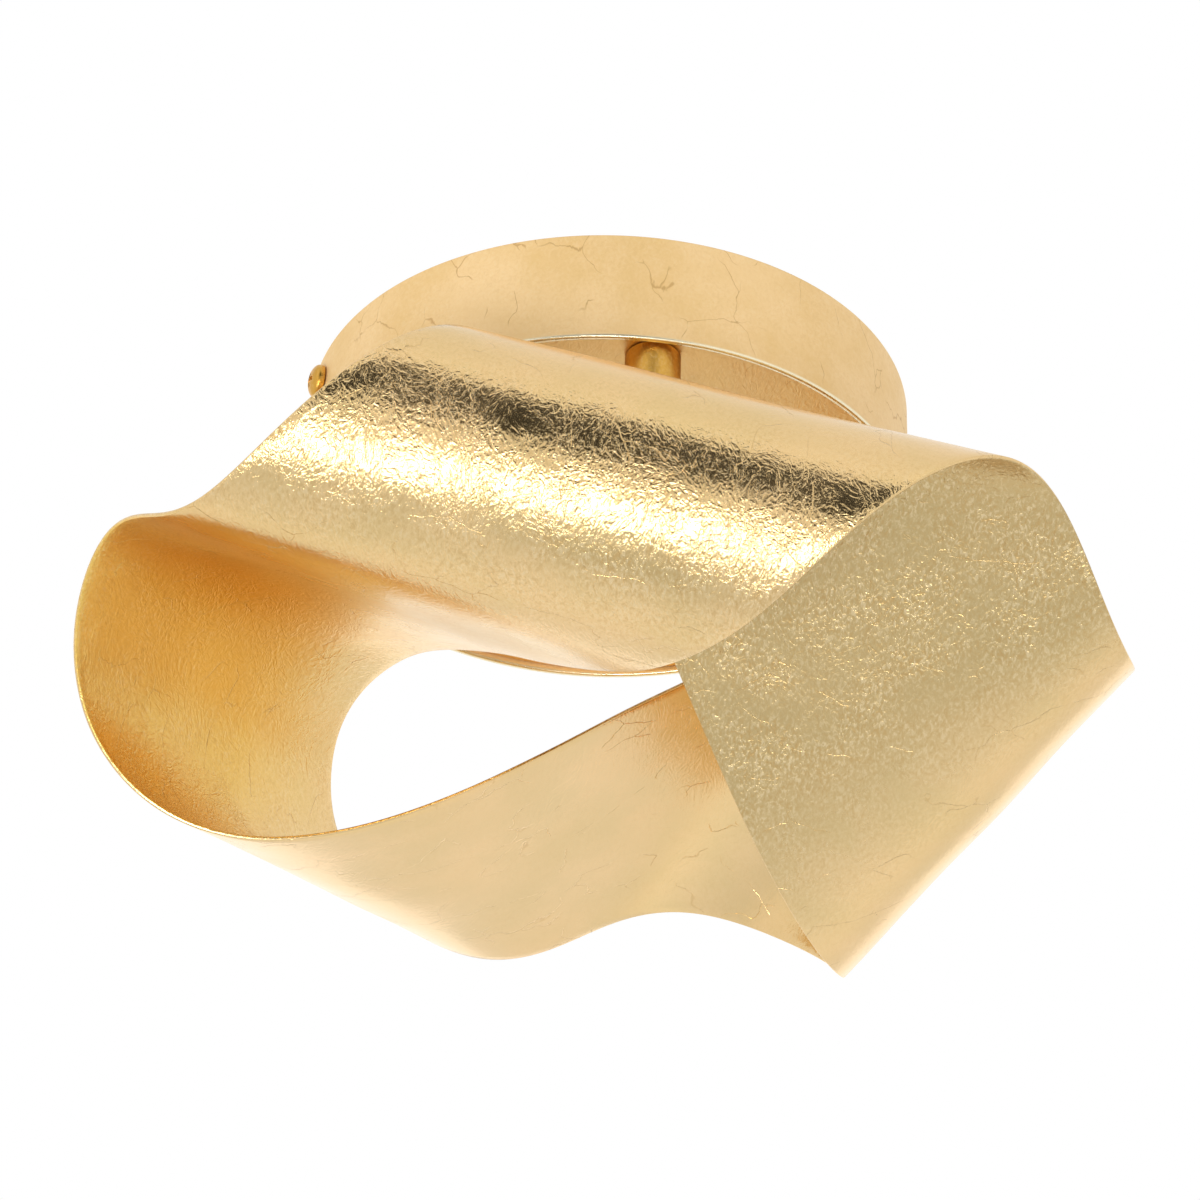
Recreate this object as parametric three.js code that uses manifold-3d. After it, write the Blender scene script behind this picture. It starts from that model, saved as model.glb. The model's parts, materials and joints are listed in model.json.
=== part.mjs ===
// A ceiling or wall lamp: a shallow round canopy carries one closed sheet-metal ribbon on three posts.
// Millimetres, +Z up. The origin is the middle of the bracket's mounting face, and the lamp hangs below it.
import * as THREE from "three";
import { mergeVertices } from "three/addons/utils/BufferGeometryUtils.js";
import Module from "manifold-3d";

const wasm = await Module();
wasm.setup();

// Clearances
const seatGap = 0.3;
const holeClearance = 0.35;
const ceilingGap = 0.5;
const cutPast = 1;

// Ribbon: the band has a single edge, which runs round twice before it closes.
// Seen from above the edge is a sum of turning circles, and its height is a sum of waves.
const loopRadius = 109;
const lobeRadius = 68;
const cornerRadius = 20;
const bulgeRadius = 8;
const tuckRadius = 4;
const rippleRadius = 1.5;
const sideWaveHeight = 22;
const rollWaveHeight = 26;
const crestWaveHeight = 3.5;
const foldWaveHeight = 2;
const ribbonDepth = 96;
const ribbonTurnDegrees = -27.5;
const ribbonThickness = 1.2;

// Canopy
const canopyRadius = 90;
const canopyHeight = 37;
const canopyWall = 2;
const plateThickness = 2;
const plateInset = 2;
const plateOpeningRadius = 54;

// Posts between the canopy plate and the ribbon
const postInset = 11;
const postAngleDegrees = -81.3;
const postCount = 3;
const postRadius = 8;
const postBoltRadius = 2;
const postBoltHeadRadius = 3.6;
const postBoltHeadHeight = 2.4;
const postBoltReach = 7;

// Bracket that stays on the ceiling
const bracketTurnDegrees = 18;
const bracketWidth = 24;
const bracketThickness = 2;
const bracketSlotCentre = 42;
const bracketSlotLength = 30;
const bracketSlotWidth = 5.5;
const tabWidth = 16;
const tabDepth = 20;
const earthScrewPlace = 16;
const earthScrewRadius = 2;
const earthHeadRadius = 3.8;
const earthHeadHeight = 2.6;
const earthWasherRadius = 4.6;
const earthWasherThickness = 0.8;

// Side screws that clamp the canopy to the bracket's tabs
const sideScrewDrop = 10;
const sideScrewRadius = 2;
const sideScrewLength = 10.5;
const sideHeadRadius = 5;
const sideHeadHeight = 3.7;
const sideNutWidth = 7;
const sideNutThickness = 3.2;
const recessLength = 4.6;
const recessWidth = 1.1;
const recessDepth = 1.4;
const headEdgeShare = 0.3;

// Light engine
const flangeLap = 3;
const flangeThickness = 1.5;
const diffuserWall = 1.5;
const diffuserDepth = 9;
const diffuserDome = 2;
const carrierLap = 10;
const carrierThickness = 2;
const carrierScrewCount = 3;
const carrierScrewLap = 7;
const carrierScrewRadius = 1.4;
const carrierHeadRadius = 2.6;
const carrierHeadHeight = 2;
const carrierScrewAngleDegrees = 90;
const boardMargin = 8;
const boardThickness = 1.6;
const ledCount = 6;
const ledCircleRadius = 30;
const ledSize = 5;
const ledHeight = 1;
const leadHoleRadius = 3.4;
const leadHolePlace = 40;

// Driver box
const driverLength = 84;
const driverWidth = 34;
const driverHeight = 16;
const driverWall = 1.6;
const driverPlace = 30;
const driverLidThickness = 1.6;
const driverRibHeight = 3;
const driverRibWidth = 3;
const driverRibPlace = 25;
const driverBoardThickness = 1.6;
const driverBoardMargin = 0.6;
const coilSize = 14;
const coilHeight = 7;
const coilPlace = -14;
const capacitorRadius = 3;
const capacitorLength = 12;
const capacitorPlace = 18;
const earLength = 10;
const earWidth = 12;
const earThickness = 2;
const earScrewRadius = 1.4;
const earHeadRadius = 2.6;
const earHeadHeight = 1.8;
const earScrewBite = 1.6;

// Terminal block
const terminalLength = 32;
const terminalWidth = 18;
const terminalHeight = 14;
const terminalPlace = -32;
const terminalPoleCount = 3;
const terminalPitch = 10;
const terminalScrewRadius = 2;
const terminalScrewHeight = 3;
const terminalWellDepth = 5;
const terminalEntryRadius = 2;
const terminalEntryDepth = 5;
const terminalEntryHeight = 5;

// Leads
const leadRadius = 1;
const leadSpacing = 3.2;
const supplyLeadHeight = 6;
const lightLeadHeight = 9;
const leadBendRadius = 10;

// Fineness of the facets
const seatScanCount = 240;
const seatRowCount = 40;
const seatStartShare = 0.02;
const seatShrinkShare = 0.8;
const seatEndShare = 1e-4;
const ribbonStepCount = 96;
const ribbonStripCount = 4;
const canopySideCount = 72;
const roundSideCount = 24;
const smallSideCount = 16;
const domeStepCount = 4;
const leadSideCount = 8;
const leadStepCount = 14;

const degrees = Math.PI / 180;
const up = new THREE.Vector3(0, 0, 1);

// Finishes
function finish(color, roughness, metalness) {
  return new THREE.MeshStandardMaterial({ color, roughness, metalness });
}

const goldLeaf = finish(0xe3bb6c, 0.32, 1);
const zincSteel = finish(0xb9bcc0, 0.4, 1);
const brassScrew = finish(0xc9a352, 0.3, 1);
const aluminium = finish(0xcfd2d4, 0.45, 1);
const whiteMask = finish(0xf4f4f0, 0.5, 0);
const phosphor = finish(0xf2d84b, 0.4, 0);
const opal = finish(0xf7f6f0, 0.35, 0);
const whitePlastic = finish(0xe9e9e4, 0.5, 0);
const greenBoard = finish(0x2d6a3f, 0.5, 0);
const blackPlastic = finish(0x26272a, 0.5, 0);
const copperCoil = finish(0xa8642f, 0.4, 0.8);
const redLead = finish(0xb3261e, 0.5, 0);
const blackLead = finish(0x1c1c1e, 0.5, 0);
const brownLead = finish(0x6b4226, 0.5, 0);
const blueLead = finish(0x2f5fa8, 0.5, 0);

const lamp = new THREE.Group();

function place(name, geometry, material, position = [0, 0, 0], direction = up) {
  const mesh = new THREE.Mesh(geometry, material);
  mesh.name = name;
  mesh.position.set(...position);
  mesh.quaternion.setFromUnitVectors(up, direction);
  lamp.add(mesh);
  return mesh;
}

// A profile of [radius, height] points turned about Z, counter-clockwise in the half plane.
function turned(profile, sides = roundSideCount) {
  const points = profile.map(([radius, height]) => new THREE.Vector2(radius, height));
  return new THREE.LatheGeometry(points, sides).rotateX(Math.PI / 2);
}

function disc(radius, low, high, sides = roundSideCount) {
  return turned([[0, low], [radius, low], [radius, high], [0, high]], sides);
}

// The cutter for a round hole between two heights, at a spot in plan.
function hole(radius, low, high, spot) {
  return disc(radius, low - cutPast, high + cutPast, smallSideCount).translate(spot.x, spot.y, 0);
}

function ring(inner, outer, low, high, sides = roundSideCount) {
  return turned([[inner, low], [outer, low], [outer, high], [inner, high], [inner, low]], sides);
}

// A box given by its lowest and highest corners.
function block(low, high) {
  const size = high.map((value, axis) => value - low[axis]);
  const middle = high.map((value, axis) => (value + low[axis]) / 2);
  return new THREE.BoxGeometry(...size).translate(...middle);
}

function solid(geometry) {
  const bare = geometry.clone();
  bare.deleteAttribute("normal");
  bare.deleteAttribute("uv");
  const merged = mergeVertices(bare, 1e-3);
  const vertProperties = new Float32Array(merged.attributes.position.array);
  const triVerts = new Uint32Array(merged.index.array);
  return new wasm.Manifold(new wasm.Mesh({ numProp: 3, vertProperties, triVerts }));
}

function shape(body) {
  const made = body.getMesh();
  const geometry = new THREE.BufferGeometry();
  geometry.setAttribute("position", new THREE.BufferAttribute(made.vertProperties, 3));
  geometry.setIndex(new THREE.BufferAttribute(made.triVerts, 1));
  geometry.computeVertexNormals();
  return geometry;
}

function cut(base, ...tools) {
  return shape(tools.reduce((body, tool) => body.subtract(solid(tool)), solid(base)));
}

function joined(base, ...others) {
  return shape(others.reduce((body, other) => body.add(solid(other)), solid(base)));
}

// A geometry modelled along +Z, turned to a direction and moved to a point.
function aimed(geometry, point, direction) {
  const turn = new THREE.Quaternion().setFromUnitVectors(up, direction);
  return geometry.clone().applyQuaternion(turn).translate(point.x, point.y, point.z);
}

function onCircle(radius, angle, height = 0) {
  return new THREE.Vector3(radius * Math.cos(angle), radius * Math.sin(angle), height);
}

// A screw standing head up on z = 0, its shank reaching down, with a domed head.
function domedScrew(shankRadius, headRadius, headHeight, reach, sides = smallSideCount) {
  const edge = headHeight * headEdgeShare;
  const profile = [[0, -reach], [shankRadius, -reach], [shankRadius, 0], [headRadius, 0]];
  for (let i = 0; i < domeStepCount; i++) {
    const angle = (i / domeStepCount) * Math.PI / 2;
    profile.push([headRadius * Math.cos(angle), edge + (headHeight - edge) * Math.sin(angle)]);
  }
  profile.push([0, headHeight]);
  return turned(profile, sides);
}

// The cross recess of a screw head whose top is at the given height.
function crossRecess(top) {
  const floor = top - recessDepth;
  const long = recessLength / 2;
  const wide = recessWidth / 2;
  const along = block([-long, -wide, floor], [long, wide, top + cutPast]);
  const across = along.clone().rotateZ(Math.PI / 2);
  return [along, across];
}

function crossScrew(shankRadius, headRadius, headHeight, reach) {
  const blank = domedScrew(shankRadius, headRadius, headHeight, reach, roundSideCount);
  return cut(blank, ...crossRecess(headHeight));
}

// Radii that follow the canopy and the opening in its plate
const postCircleRadius = canopyRadius - postInset;
const flangeRadius = plateOpeningRadius + flangeLap;
const carrierRadius = plateOpeningRadius + carrierLap;
const carrierScrewCircle = plateOpeningRadius + carrierScrewLap;
const boardRadius = plateOpeningRadius - boardMargin;

// Heights of the stacked pieces
const plateTop = -(canopyHeight - plateInset - plateThickness);
const plateBottom = plateTop - plateThickness;
const flangeLow = plateTop + seatGap;
const webLow = flangeLow + flangeThickness + seatGap;
const carrierTop = webLow + carrierThickness;
const boardTop = webLow - seatGap;
const boardLow = boardTop - boardThickness;
const boxFloor = carrierTop + seatGap;

// Ribbon
const edgeCircles = [
  [2, loopRadius],
  [-1, lobeRadius],
  [-4, -cornerRadius],
  [5, -bulgeRadius],
  [-7, tuckRadius],
  [8, -rippleRadius],
];
const edgeWaves = [
  [3, sideWaveHeight],
  [6, -rollWaveHeight],
  [9, crestWaveHeight],
  [12, -foldWaveHeight],
];

function ribbonEdge(angle) {
  const start = ribbonTurnDegrees * degrees;
  const point = new THREE.Vector3(0, 0, -ribbonDepth);
  for (const [turns, radius] of edgeCircles) {
    point.x += radius * Math.cos(turns * angle + start);
    point.y += radius * Math.sin(turns * angle + start);
  }
  for (const [turns, height] of edgeWaves) {
    point.z += height * Math.sin(turns * angle);
  }
  return point;
}

// A ruling joins two points of the edge that are half its length apart.
function ribbonPoint(angle, share) {
  return ribbonEdge(angle).lerp(ribbonEdge(angle + Math.PI), share);
}

function ribbonNormal(angle, share) {
  const step = 1e-3;
  const along = ribbonPoint(angle + step, share).sub(ribbonPoint(angle - step, share));
  const across = ribbonEdge(angle + Math.PI).sub(ribbonEdge(angle));
  return along.cross(across).normalize();
}

// The sheet lies half its thickness to either side of the rulings.
// Two rounds of the angle cover both faces, and one strip closes the rim.
function ribbonSheet() {
  const rounds = 2 * ribbonStepCount;
  const row = ribbonStripCount + 1;
  const positions = [];
  for (let i = 0; i < rounds; i++) {
    const angle = (i / ribbonStepCount) * Math.PI;
    for (let j = 0; j < row; j++) {
      const share = j / ribbonStripCount;
      const offset = ribbonNormal(angle, share).multiplyScalar(ribbonThickness / 2);
      positions.push(...ribbonPoint(angle, share).add(offset).toArray());
    }
  }
  const corner = (i, j) => (i % rounds) * row + j;
  const index = [];
  const quad = (a, b, c, d) => index.push(a, b, c, a, c, d);
  for (let i = 0; i < rounds; i++) {
    for (let j = 0; j < ribbonStripCount; j++) {
      quad(corner(i, j), corner(i + 1, j), corner(i + 1, j + 1), corner(i, j + 1));
    }
    const back = i + ribbonStepCount;
    quad(corner(i + 1, 0), corner(i, 0), corner(back, ribbonStripCount), corner(back + 1, ribbonStripCount));
  }
  const geometry = new THREE.BufferGeometry();
  geometry.setAttribute("position", new THREE.Float32BufferAttribute(positions, 3));
  geometry.setIndex(index);
  return geometry;
}

// The highest place of the sheet on a vertical line, and the upward normal there.
function ribbonSeat(x, y) {
  const miss = (angle, share) => {
    const point = ribbonPoint(angle, share);
    return Math.hypot(point.x - x, point.y - y);
  };
  const near = [];
  for (let i = 0; i < seatScanCount; i++) {
    for (let j = 0; j <= seatRowCount; j++) {
      const spot = [(i / seatScanCount) * Math.PI, j / seatRowCount];
      if (miss(...spot) < postRadius) near.push(spot);
    }
  }
  near.sort((a, b) => ribbonPoint(...b).z - ribbonPoint(...a).z);
  let [angle, share] = near[0];
  for (let span = seatStartShare; span > seatStartShare * seatEndShare; span *= seatShrinkShare) {
    for (const [da, ds] of [[1, 0], [-1, 0], [0, 1], [0, -1]]) {
      const tried = [angle + da * span, share + ds * span];
      if (miss(...tried) < miss(angle, share)) [angle, share] = tried;
    }
  }
  const normal = ribbonNormal(angle, share);
  return { point: ribbonPoint(angle, share), normal: normal.z < 0 ? normal.negate() : normal };
}

const postSeats = [];
for (let i = 0; i < postCount; i++) {
  const angle = postAngleDegrees * degrees + (i / postCount) * 2 * Math.PI;
  const top = onCircle(postCircleRadius, angle);
  postSeats.push({ top, ...ribbonSeat(top.x, top.y) });
}

place("ribbon", ribbonSheet(), goldLeaf);

// Posts, with a level top and a foot cut to the slope of the ribbon, where it is brazed on
const postTop = plateBottom - seatGap;
postSeats.forEach(({ top, point, normal }, i) => {
  const number = i + 1;
  const bore = postBoltRadius + holeClearance;
  const foot = point.clone().addScaledVector(normal, ribbonThickness / 2 + seatGap);
  const postLength = postTop - point.z;
  const bar = disc(postRadius, point.z - postLength, postTop).translate(top.x, top.y, 0);
  const below = aimed(disc(2 * postLength, -2 * postLength, 0), foot, normal);
  const upperBore = hole(bore, postTop - postBoltReach + cutPast, postTop, top);
  place(`post_${number}`, cut(bar, below, upperBore), goldLeaf);

  const boltReach = plateTop - postTop + postBoltReach;
  const bolt = domedScrew(postBoltRadius, postBoltHeadRadius, postBoltHeadHeight, boltReach);
  place(`post_bolt_${number}`, bolt, zincSteel, [top.x, top.y, plateTop + seatGap]);
});

// Canopy wall and plate
const canopyInner = canopyRadius - canopyWall;
const bracketTurn = bracketTurnDegrees * degrees;
const sideways = [
  ["left", onCircle(-1, bracketTurn)],
  ["right", onCircle(1, bracketTurn)],
];
const sideHoleRadius = sideScrewRadius + holeClearance;
const sideHoles = sideways.map(([, direction]) => {
  const through = disc(sideHoleRadius, canopyInner - canopyWall, canopyRadius + canopyWall, smallSideCount);
  return aimed(through, new THREE.Vector3(0, 0, -sideScrewDrop), direction);
});
const wallRing = ring(canopyInner, canopyRadius, -canopyHeight, -ceilingGap, canopySideCount);
place("canopy_wall", cut(wallRing, ...sideHoles), goldLeaf);

const plateHoleRadius = postBoltRadius + holeClearance;
const postHoles = postSeats.map(({ top }) => hole(plateHoleRadius, plateBottom, plateTop, top));
const carrierSpots = [];
for (let i = 0; i < carrierScrewCount; i++) {
  const angle = carrierScrewAngleDegrees * degrees + (i / carrierScrewCount) * 2 * Math.PI;
  carrierSpots.push(onCircle(carrierScrewCircle, angle));
}
const carrierHoleRadius = carrierScrewRadius + holeClearance;
const carrierHoles = carrierSpots.map((spot) => hole(carrierHoleRadius, plateBottom, carrierTop, spot));
const plateDisc = ring(plateOpeningRadius, canopyInner - seatGap, plateBottom, plateTop, canopySideCount);
place("canopy_plate", cut(plateDisc, ...postHoles, ...carrierHoles), goldLeaf);

// Bracket: a strap with fixing slots and two tabs whose slots are open at the bottom. It is shaped
// along X and then turned to the side screws
const tabOuter = Math.sqrt(canopyInner ** 2 - (tabWidth / 2) ** 2) - seatGap;
const tabInner = tabOuter - bracketThickness;
const tabLow = -bracketThickness - tabDepth;
const tabs = [
  block([-tabOuter, -tabWidth / 2, tabLow], [-tabInner, tabWidth / 2, -bracketThickness / 2]),
  block([tabInner, -tabWidth / 2, tabLow], [tabOuter, tabWidth / 2, -bracketThickness / 2]),
];
const strapSlots = [-bracketSlotCentre, bracketSlotCentre].map((x) =>
  block(
    [x - bracketSlotLength / 2, -bracketSlotWidth / 2, -bracketThickness - cutPast],
    [x + bracketSlotLength / 2, bracketSlotWidth / 2, cutPast],
  ),
);
const tabSlotTop = -sideScrewDrop + sideHoleRadius;
const tabSlot = block(
  [-canopyRadius, -sideHoleRadius, tabLow - cutPast],
  [canopyRadius, sideHoleRadius, tabSlotTop],
);
const strap = block([-tabOuter, -bracketWidth / 2, -bracketThickness], [tabOuter, bracketWidth / 2, 0]);
const strapUnder = -bracketThickness - cutPast;
const strapEnds = ring(canopyInner - seatGap, 2 * canopyRadius, strapUnder, cutPast, canopySideCount);
const earthBore = earthScrewRadius + holeClearance;
const earthHole = hole(earthBore, -bracketThickness, 0, new THREE.Vector3(earthScrewPlace, 0, 0));
const bracketBlank = joined(cut(strap, strapEnds), ...tabs);
place("bracket", cut(bracketBlank, tabSlot, ...strapSlots, earthHole).rotateZ(bracketTurn), zincSteel);

const down = new THREE.Vector3(0, 0, -1);
const earthWasherTop = -bracketThickness - seatGap;
const earthWasher = ring(earthBore, earthWasherRadius, 0, earthWasherThickness, smallSideCount);
const earthWasherSeat = onCircle(earthScrewPlace, bracketTurn, earthWasherTop);
place("earth_washer", earthWasher, brassScrew, earthWasherSeat.toArray(), down);
const earthSeat = earthWasherTop - earthWasherThickness - seatGap;
const earthReach = -earthSeat - seatGap;
const earthScrew = crossScrew(earthScrewRadius, earthHeadRadius, earthHeadHeight, earthReach);
const earthScrewSeat = onCircle(earthScrewPlace, bracketTurn, earthSeat);
place("earth_screw", earthScrew, brassScrew, earthScrewSeat.toArray(), down);

// Side screws and their nuts
for (const [side, direction] of sideways) {
  const screw = crossScrew(sideScrewRadius, sideHeadRadius, sideHeadHeight, sideScrewLength);
  const seat = direction.clone().multiplyScalar(canopyRadius + seatGap).setZ(-sideScrewDrop);
  place(`side_screw_${side}`, screw, goldLeaf, seat.toArray(), direction);
  const half = sideNutWidth / 2;
  const nutBore = disc(sideHoleRadius, -cutPast, sideNutThickness + cutPast, smallSideCount);
  const nut = cut(block([-half, -half, 0], [half, half, sideNutThickness]), nutBore).rotateZ(bracketTurn);
  const nutPlace = tabInner - seatGap - sideNutThickness;
  const nutSeat = direction.clone().multiplyScalar(nutPlace).setZ(-sideScrewDrop);
  place(`side_nut_${side}`, nut, zincSteel, nutSeat.toArray(), direction);
}

// Light engine: diffuser cup, carrier dish, board and light-emitting packages
const cupRadius = plateOpeningRadius - holeClearance;
const cupInner = cupRadius - diffuserWall;
const cupLow = plateBottom - diffuserDepth;
const domeHeight = (share) => cupLow - diffuserDome * (1 - share ** 2);
const cupOutside = [];
const cupInside = [];
for (let i = 0; i <= domeStepCount; i++) {
  const share = i / domeStepCount;
  cupOutside.push([cupRadius * share, domeHeight(share)]);
  cupInside.unshift([cupInner * share, domeHeight(share) + diffuserWall]);
}
const diffuserProfile = [
  ...cupOutside,
  [cupRadius, flangeLow],
  [flangeRadius, flangeLow],
  [flangeRadius, flangeLow + flangeThickness],
  [cupInner, flangeLow + flangeThickness],
  ...cupInside,
];
place("diffuser", turned(diffuserProfile, canopySideCount), opal);

const rimInner = flangeRadius + seatGap;
const carrierProfile = [
  [0, webLow],
  [rimInner, webLow],
  [rimInner, flangeLow],
  [carrierRadius, flangeLow],
  [carrierRadius, carrierTop],
  [0, carrierTop],
];
const leadHole = hole(leadHoleRadius, webLow, carrierTop, new THREE.Vector3(leadHolePlace, 0, 0));
const earReach = (driverLength + earLength) / 2;
const earSpots = [-earReach, earReach].map((x) => new THREE.Vector3(x, driverPlace, 0));
const earHoleRadius = earScrewRadius + holeClearance;
const earHoles = earSpots.map((spot) => hole(earHoleRadius, webLow, carrierTop, spot));
const carrierDish = turned(carrierProfile, canopySideCount);
place("led_carrier", cut(carrierDish, ...carrierHoles, leadHole, ...earHoles), aluminium);

carrierSpots.forEach((spot, i) => {
  const reach = carrierTop - plateBottom;
  const screw = domedScrew(carrierScrewRadius, carrierHeadRadius, carrierHeadHeight, reach);
  place(`carrier_screw_${i + 1}`, screw, zincSteel, [spot.x, spot.y, carrierTop + seatGap]);
});

place("led_board", disc(boardRadius, boardLow, boardTop, canopySideCount), whiteMask);
for (let i = 0; i < ledCount; i++) {
  const spot = onCircle(ledCircleRadius, (i / ledCount) * 2 * Math.PI, boardLow - seatGap - ledHeight / 2);
  place(`led_${i + 1}`, new THREE.BoxGeometry(ledSize, ledSize, ledHeight), phosphor, spot.toArray());
}

// Driver box with its lid, board, coil, capacitor and screws
const driverX = driverLength / 2;
const driverNear = driverPlace - driverWidth / 2;
const driverFar = driverPlace + driverWidth / 2;
const driverTop = boxFloor + driverHeight;
const earTop = boxFloor + earThickness;
const ears = earSpots.map((spot) => {
  const inward = Math.sign(spot.x) * (driverX - driverWall);
  const outward = Math.sign(spot.x) * (driverX + earLength);
  const low = [Math.min(inward, outward), driverPlace - earWidth / 2, boxFloor];
  const high = [Math.max(inward, outward), driverPlace + earWidth / 2, earTop];
  return block(low, high);
});
const ribTop = boxFloor + driverWall + driverRibHeight;
const ribs = [-1, 1].map((side) => {
  const middle = side * driverRibPlace;
  const low = [middle - driverRibWidth / 2, driverNear + driverWall / 2, boxFloor + driverWall / 2];
  const high = [middle + driverRibWidth / 2, driverFar - driverWall / 2, ribTop];
  return block(low, high);
});
const tub = cut(
  block([-driverX, driverNear, boxFloor], [driverX, driverFar, driverTop]),
  block(
    [-driverX + driverWall, driverNear + driverWall, boxFloor + driverWall],
    [driverX - driverWall, driverFar - driverWall, driverTop + cutPast],
  ),
);
const earBores = earSpots.map((spot) => hole(earHoleRadius, boxFloor, earTop, spot));
place("driver_case", cut(joined(tub, ...ears, ...ribs), ...earBores), whitePlastic);
const lidLow = driverTop + seatGap;
place(
  "driver_lid",
  block([-driverX, driverNear, lidLow], [driverX, driverFar, lidLow + driverLidThickness]),
  whitePlastic,
);
const circuitLow = ribTop + seatGap;
const circuitTop = circuitLow + driverBoardThickness;
const circuitX = driverX - driverWall - driverBoardMargin;
const circuitNear = driverNear + driverWall + driverBoardMargin;
const circuitFar = driverFar - driverWall - driverBoardMargin;
const circuit = block([-circuitX, circuitNear, circuitLow], [circuitX, circuitFar, circuitTop]);
place("driver_board", circuit, greenBoard);
const coilFloor = circuitTop + seatGap;
const coilHalf = coilSize / 2;
place(
  "driver_coil",
  block(
    [coilPlace - coilHalf, driverPlace - coilHalf, coilFloor],
    [coilPlace + coilHalf, driverPlace + coilHalf, coilFloor + coilHeight],
  ),
  copperCoil,
);
const capacitor = disc(capacitorRadius, -capacitorLength / 2, capacitorLength / 2, smallSideCount);
const alongX = new THREE.Vector3(1, 0, 0);
const capacitorHeight = circuitTop + seatGap + capacitorRadius;
place("driver_capacitor", capacitor, blackPlastic, [capacitorPlace, driverPlace, capacitorHeight], alongX);
earSpots.forEach((spot, i) => {
  const reach = earThickness + seatGap + seatGap + earScrewBite;
  const screw = domedScrew(earScrewRadius, earHeadRadius, earHeadHeight, reach);
  place(`driver_screw_${i + 1}`, screw, zincSteel, [spot.x, spot.y, earTop + seatGap]);
});

// Terminal block with a screw for each pole
const terminalTop = boxFloor + terminalHeight;
const terminalNear = terminalPlace - terminalWidth / 2;
const terminalFar = terminalPlace + terminalWidth / 2;
const poleSpots = [];
for (let i = 0; i < terminalPoleCount; i++) {
  poleSpots.push((i - (terminalPoleCount - 1) / 2) * terminalPitch);
}
const wellRadius = terminalScrewRadius + holeClearance;
const wellLow = terminalTop - terminalWellDepth;
const wells = poleSpots.map((x) =>
  disc(wellRadius, wellLow, terminalTop + cutPast, smallSideCount).translate(x, terminalPlace, 0),
);
const outward = new THREE.Vector3(0, -1, 0);
const entries = poleSpots.map((x) => {
  const mouth = new THREE.Vector3(x, terminalNear, boxFloor + terminalEntryHeight);
  return aimed(disc(terminalEntryRadius, -terminalEntryDepth, cutPast, smallSideCount), mouth, outward);
});
const terminalBody = block(
  [-terminalLength / 2, terminalNear, boxFloor],
  [terminalLength / 2, terminalFar, terminalTop],
);
place("terminal_block", cut(terminalBody, ...wells, ...entries), whitePlastic);
poleSpots.forEach((x, i) => {
  const low = wellLow + seatGap;
  const screw = disc(terminalScrewRadius, low, low + terminalScrewHeight, smallSideCount);
  place(`terminal_screw_${i + 1}`, screw, brassScrew, [x, terminalPlace, 0]);
});

// Leads: a round section carried along a smooth route between two pieces
function lead(name, material, route) {
  const points = route.map((point) => new THREE.Vector3(...point));
  const path = new THREE.CatmullRomCurve3(points, false, "centripetal");
  const section = new THREE.Shape();
  for (let i = 0; i < leadSideCount; i++) {
    const angle = (i / leadSideCount) * 2 * Math.PI;
    const corner = [leadRadius * Math.cos(angle), leadRadius * Math.sin(angle)];
    if (i) section.lineTo(...corner);
    else section.moveTo(...corner);
  }
  const options = { steps: leadStepCount, extrudePath: path };
  place(name, new THREE.ExtrudeGeometry(section, options), material);
}

const supplyZ = boxFloor + supplyLeadHeight;
[["live", brownLead, -1], ["neutral", blueLead, 1]].forEach(([pole, material, side]) => {
  const from = side * terminalPitch;
  const to = side * leadSpacing;
  const start = terminalFar + seatGap;
  const end = driverNear - seatGap;
  const reach = (end - start) / 4;
  lead(`supply_lead_${pole}`, material, [
    [from, start, supplyZ],
    [from, start + reach, supplyZ],
    [to, end - reach, supplyZ],
    [to, end, supplyZ],
  ]);
});

const lightZ = boxFloor + lightLeadHeight;
[["plus", redLead, 0.5], ["minus", blackLead, -0.5]].forEach(([pole, material, side]) => {
  const shift = side * leadSpacing;
  const drop = leadHolePlace + side * leadSpacing;
  const bend = driverX + leadBendRadius + shift;
  lead(`light_lead_${pole}`, material, [
    [driverX + seatGap, driverNear + leadBendRadius + shift, lightZ],
    [bend - leadBendRadius / 2, driverNear + leadBendRadius + shift, lightZ],
    [bend, driverNear, lightZ],
    [drop, 0, carrierTop + leadBendRadius / 2],
    [drop, 0, carrierTop],
    [drop, 0, boardTop + seatGap],
  ]);
});

export default lamp;
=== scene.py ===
import json
import math

import bmesh
import bpy
import numpy as np
from mathutils import Matrix, Vector


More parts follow.
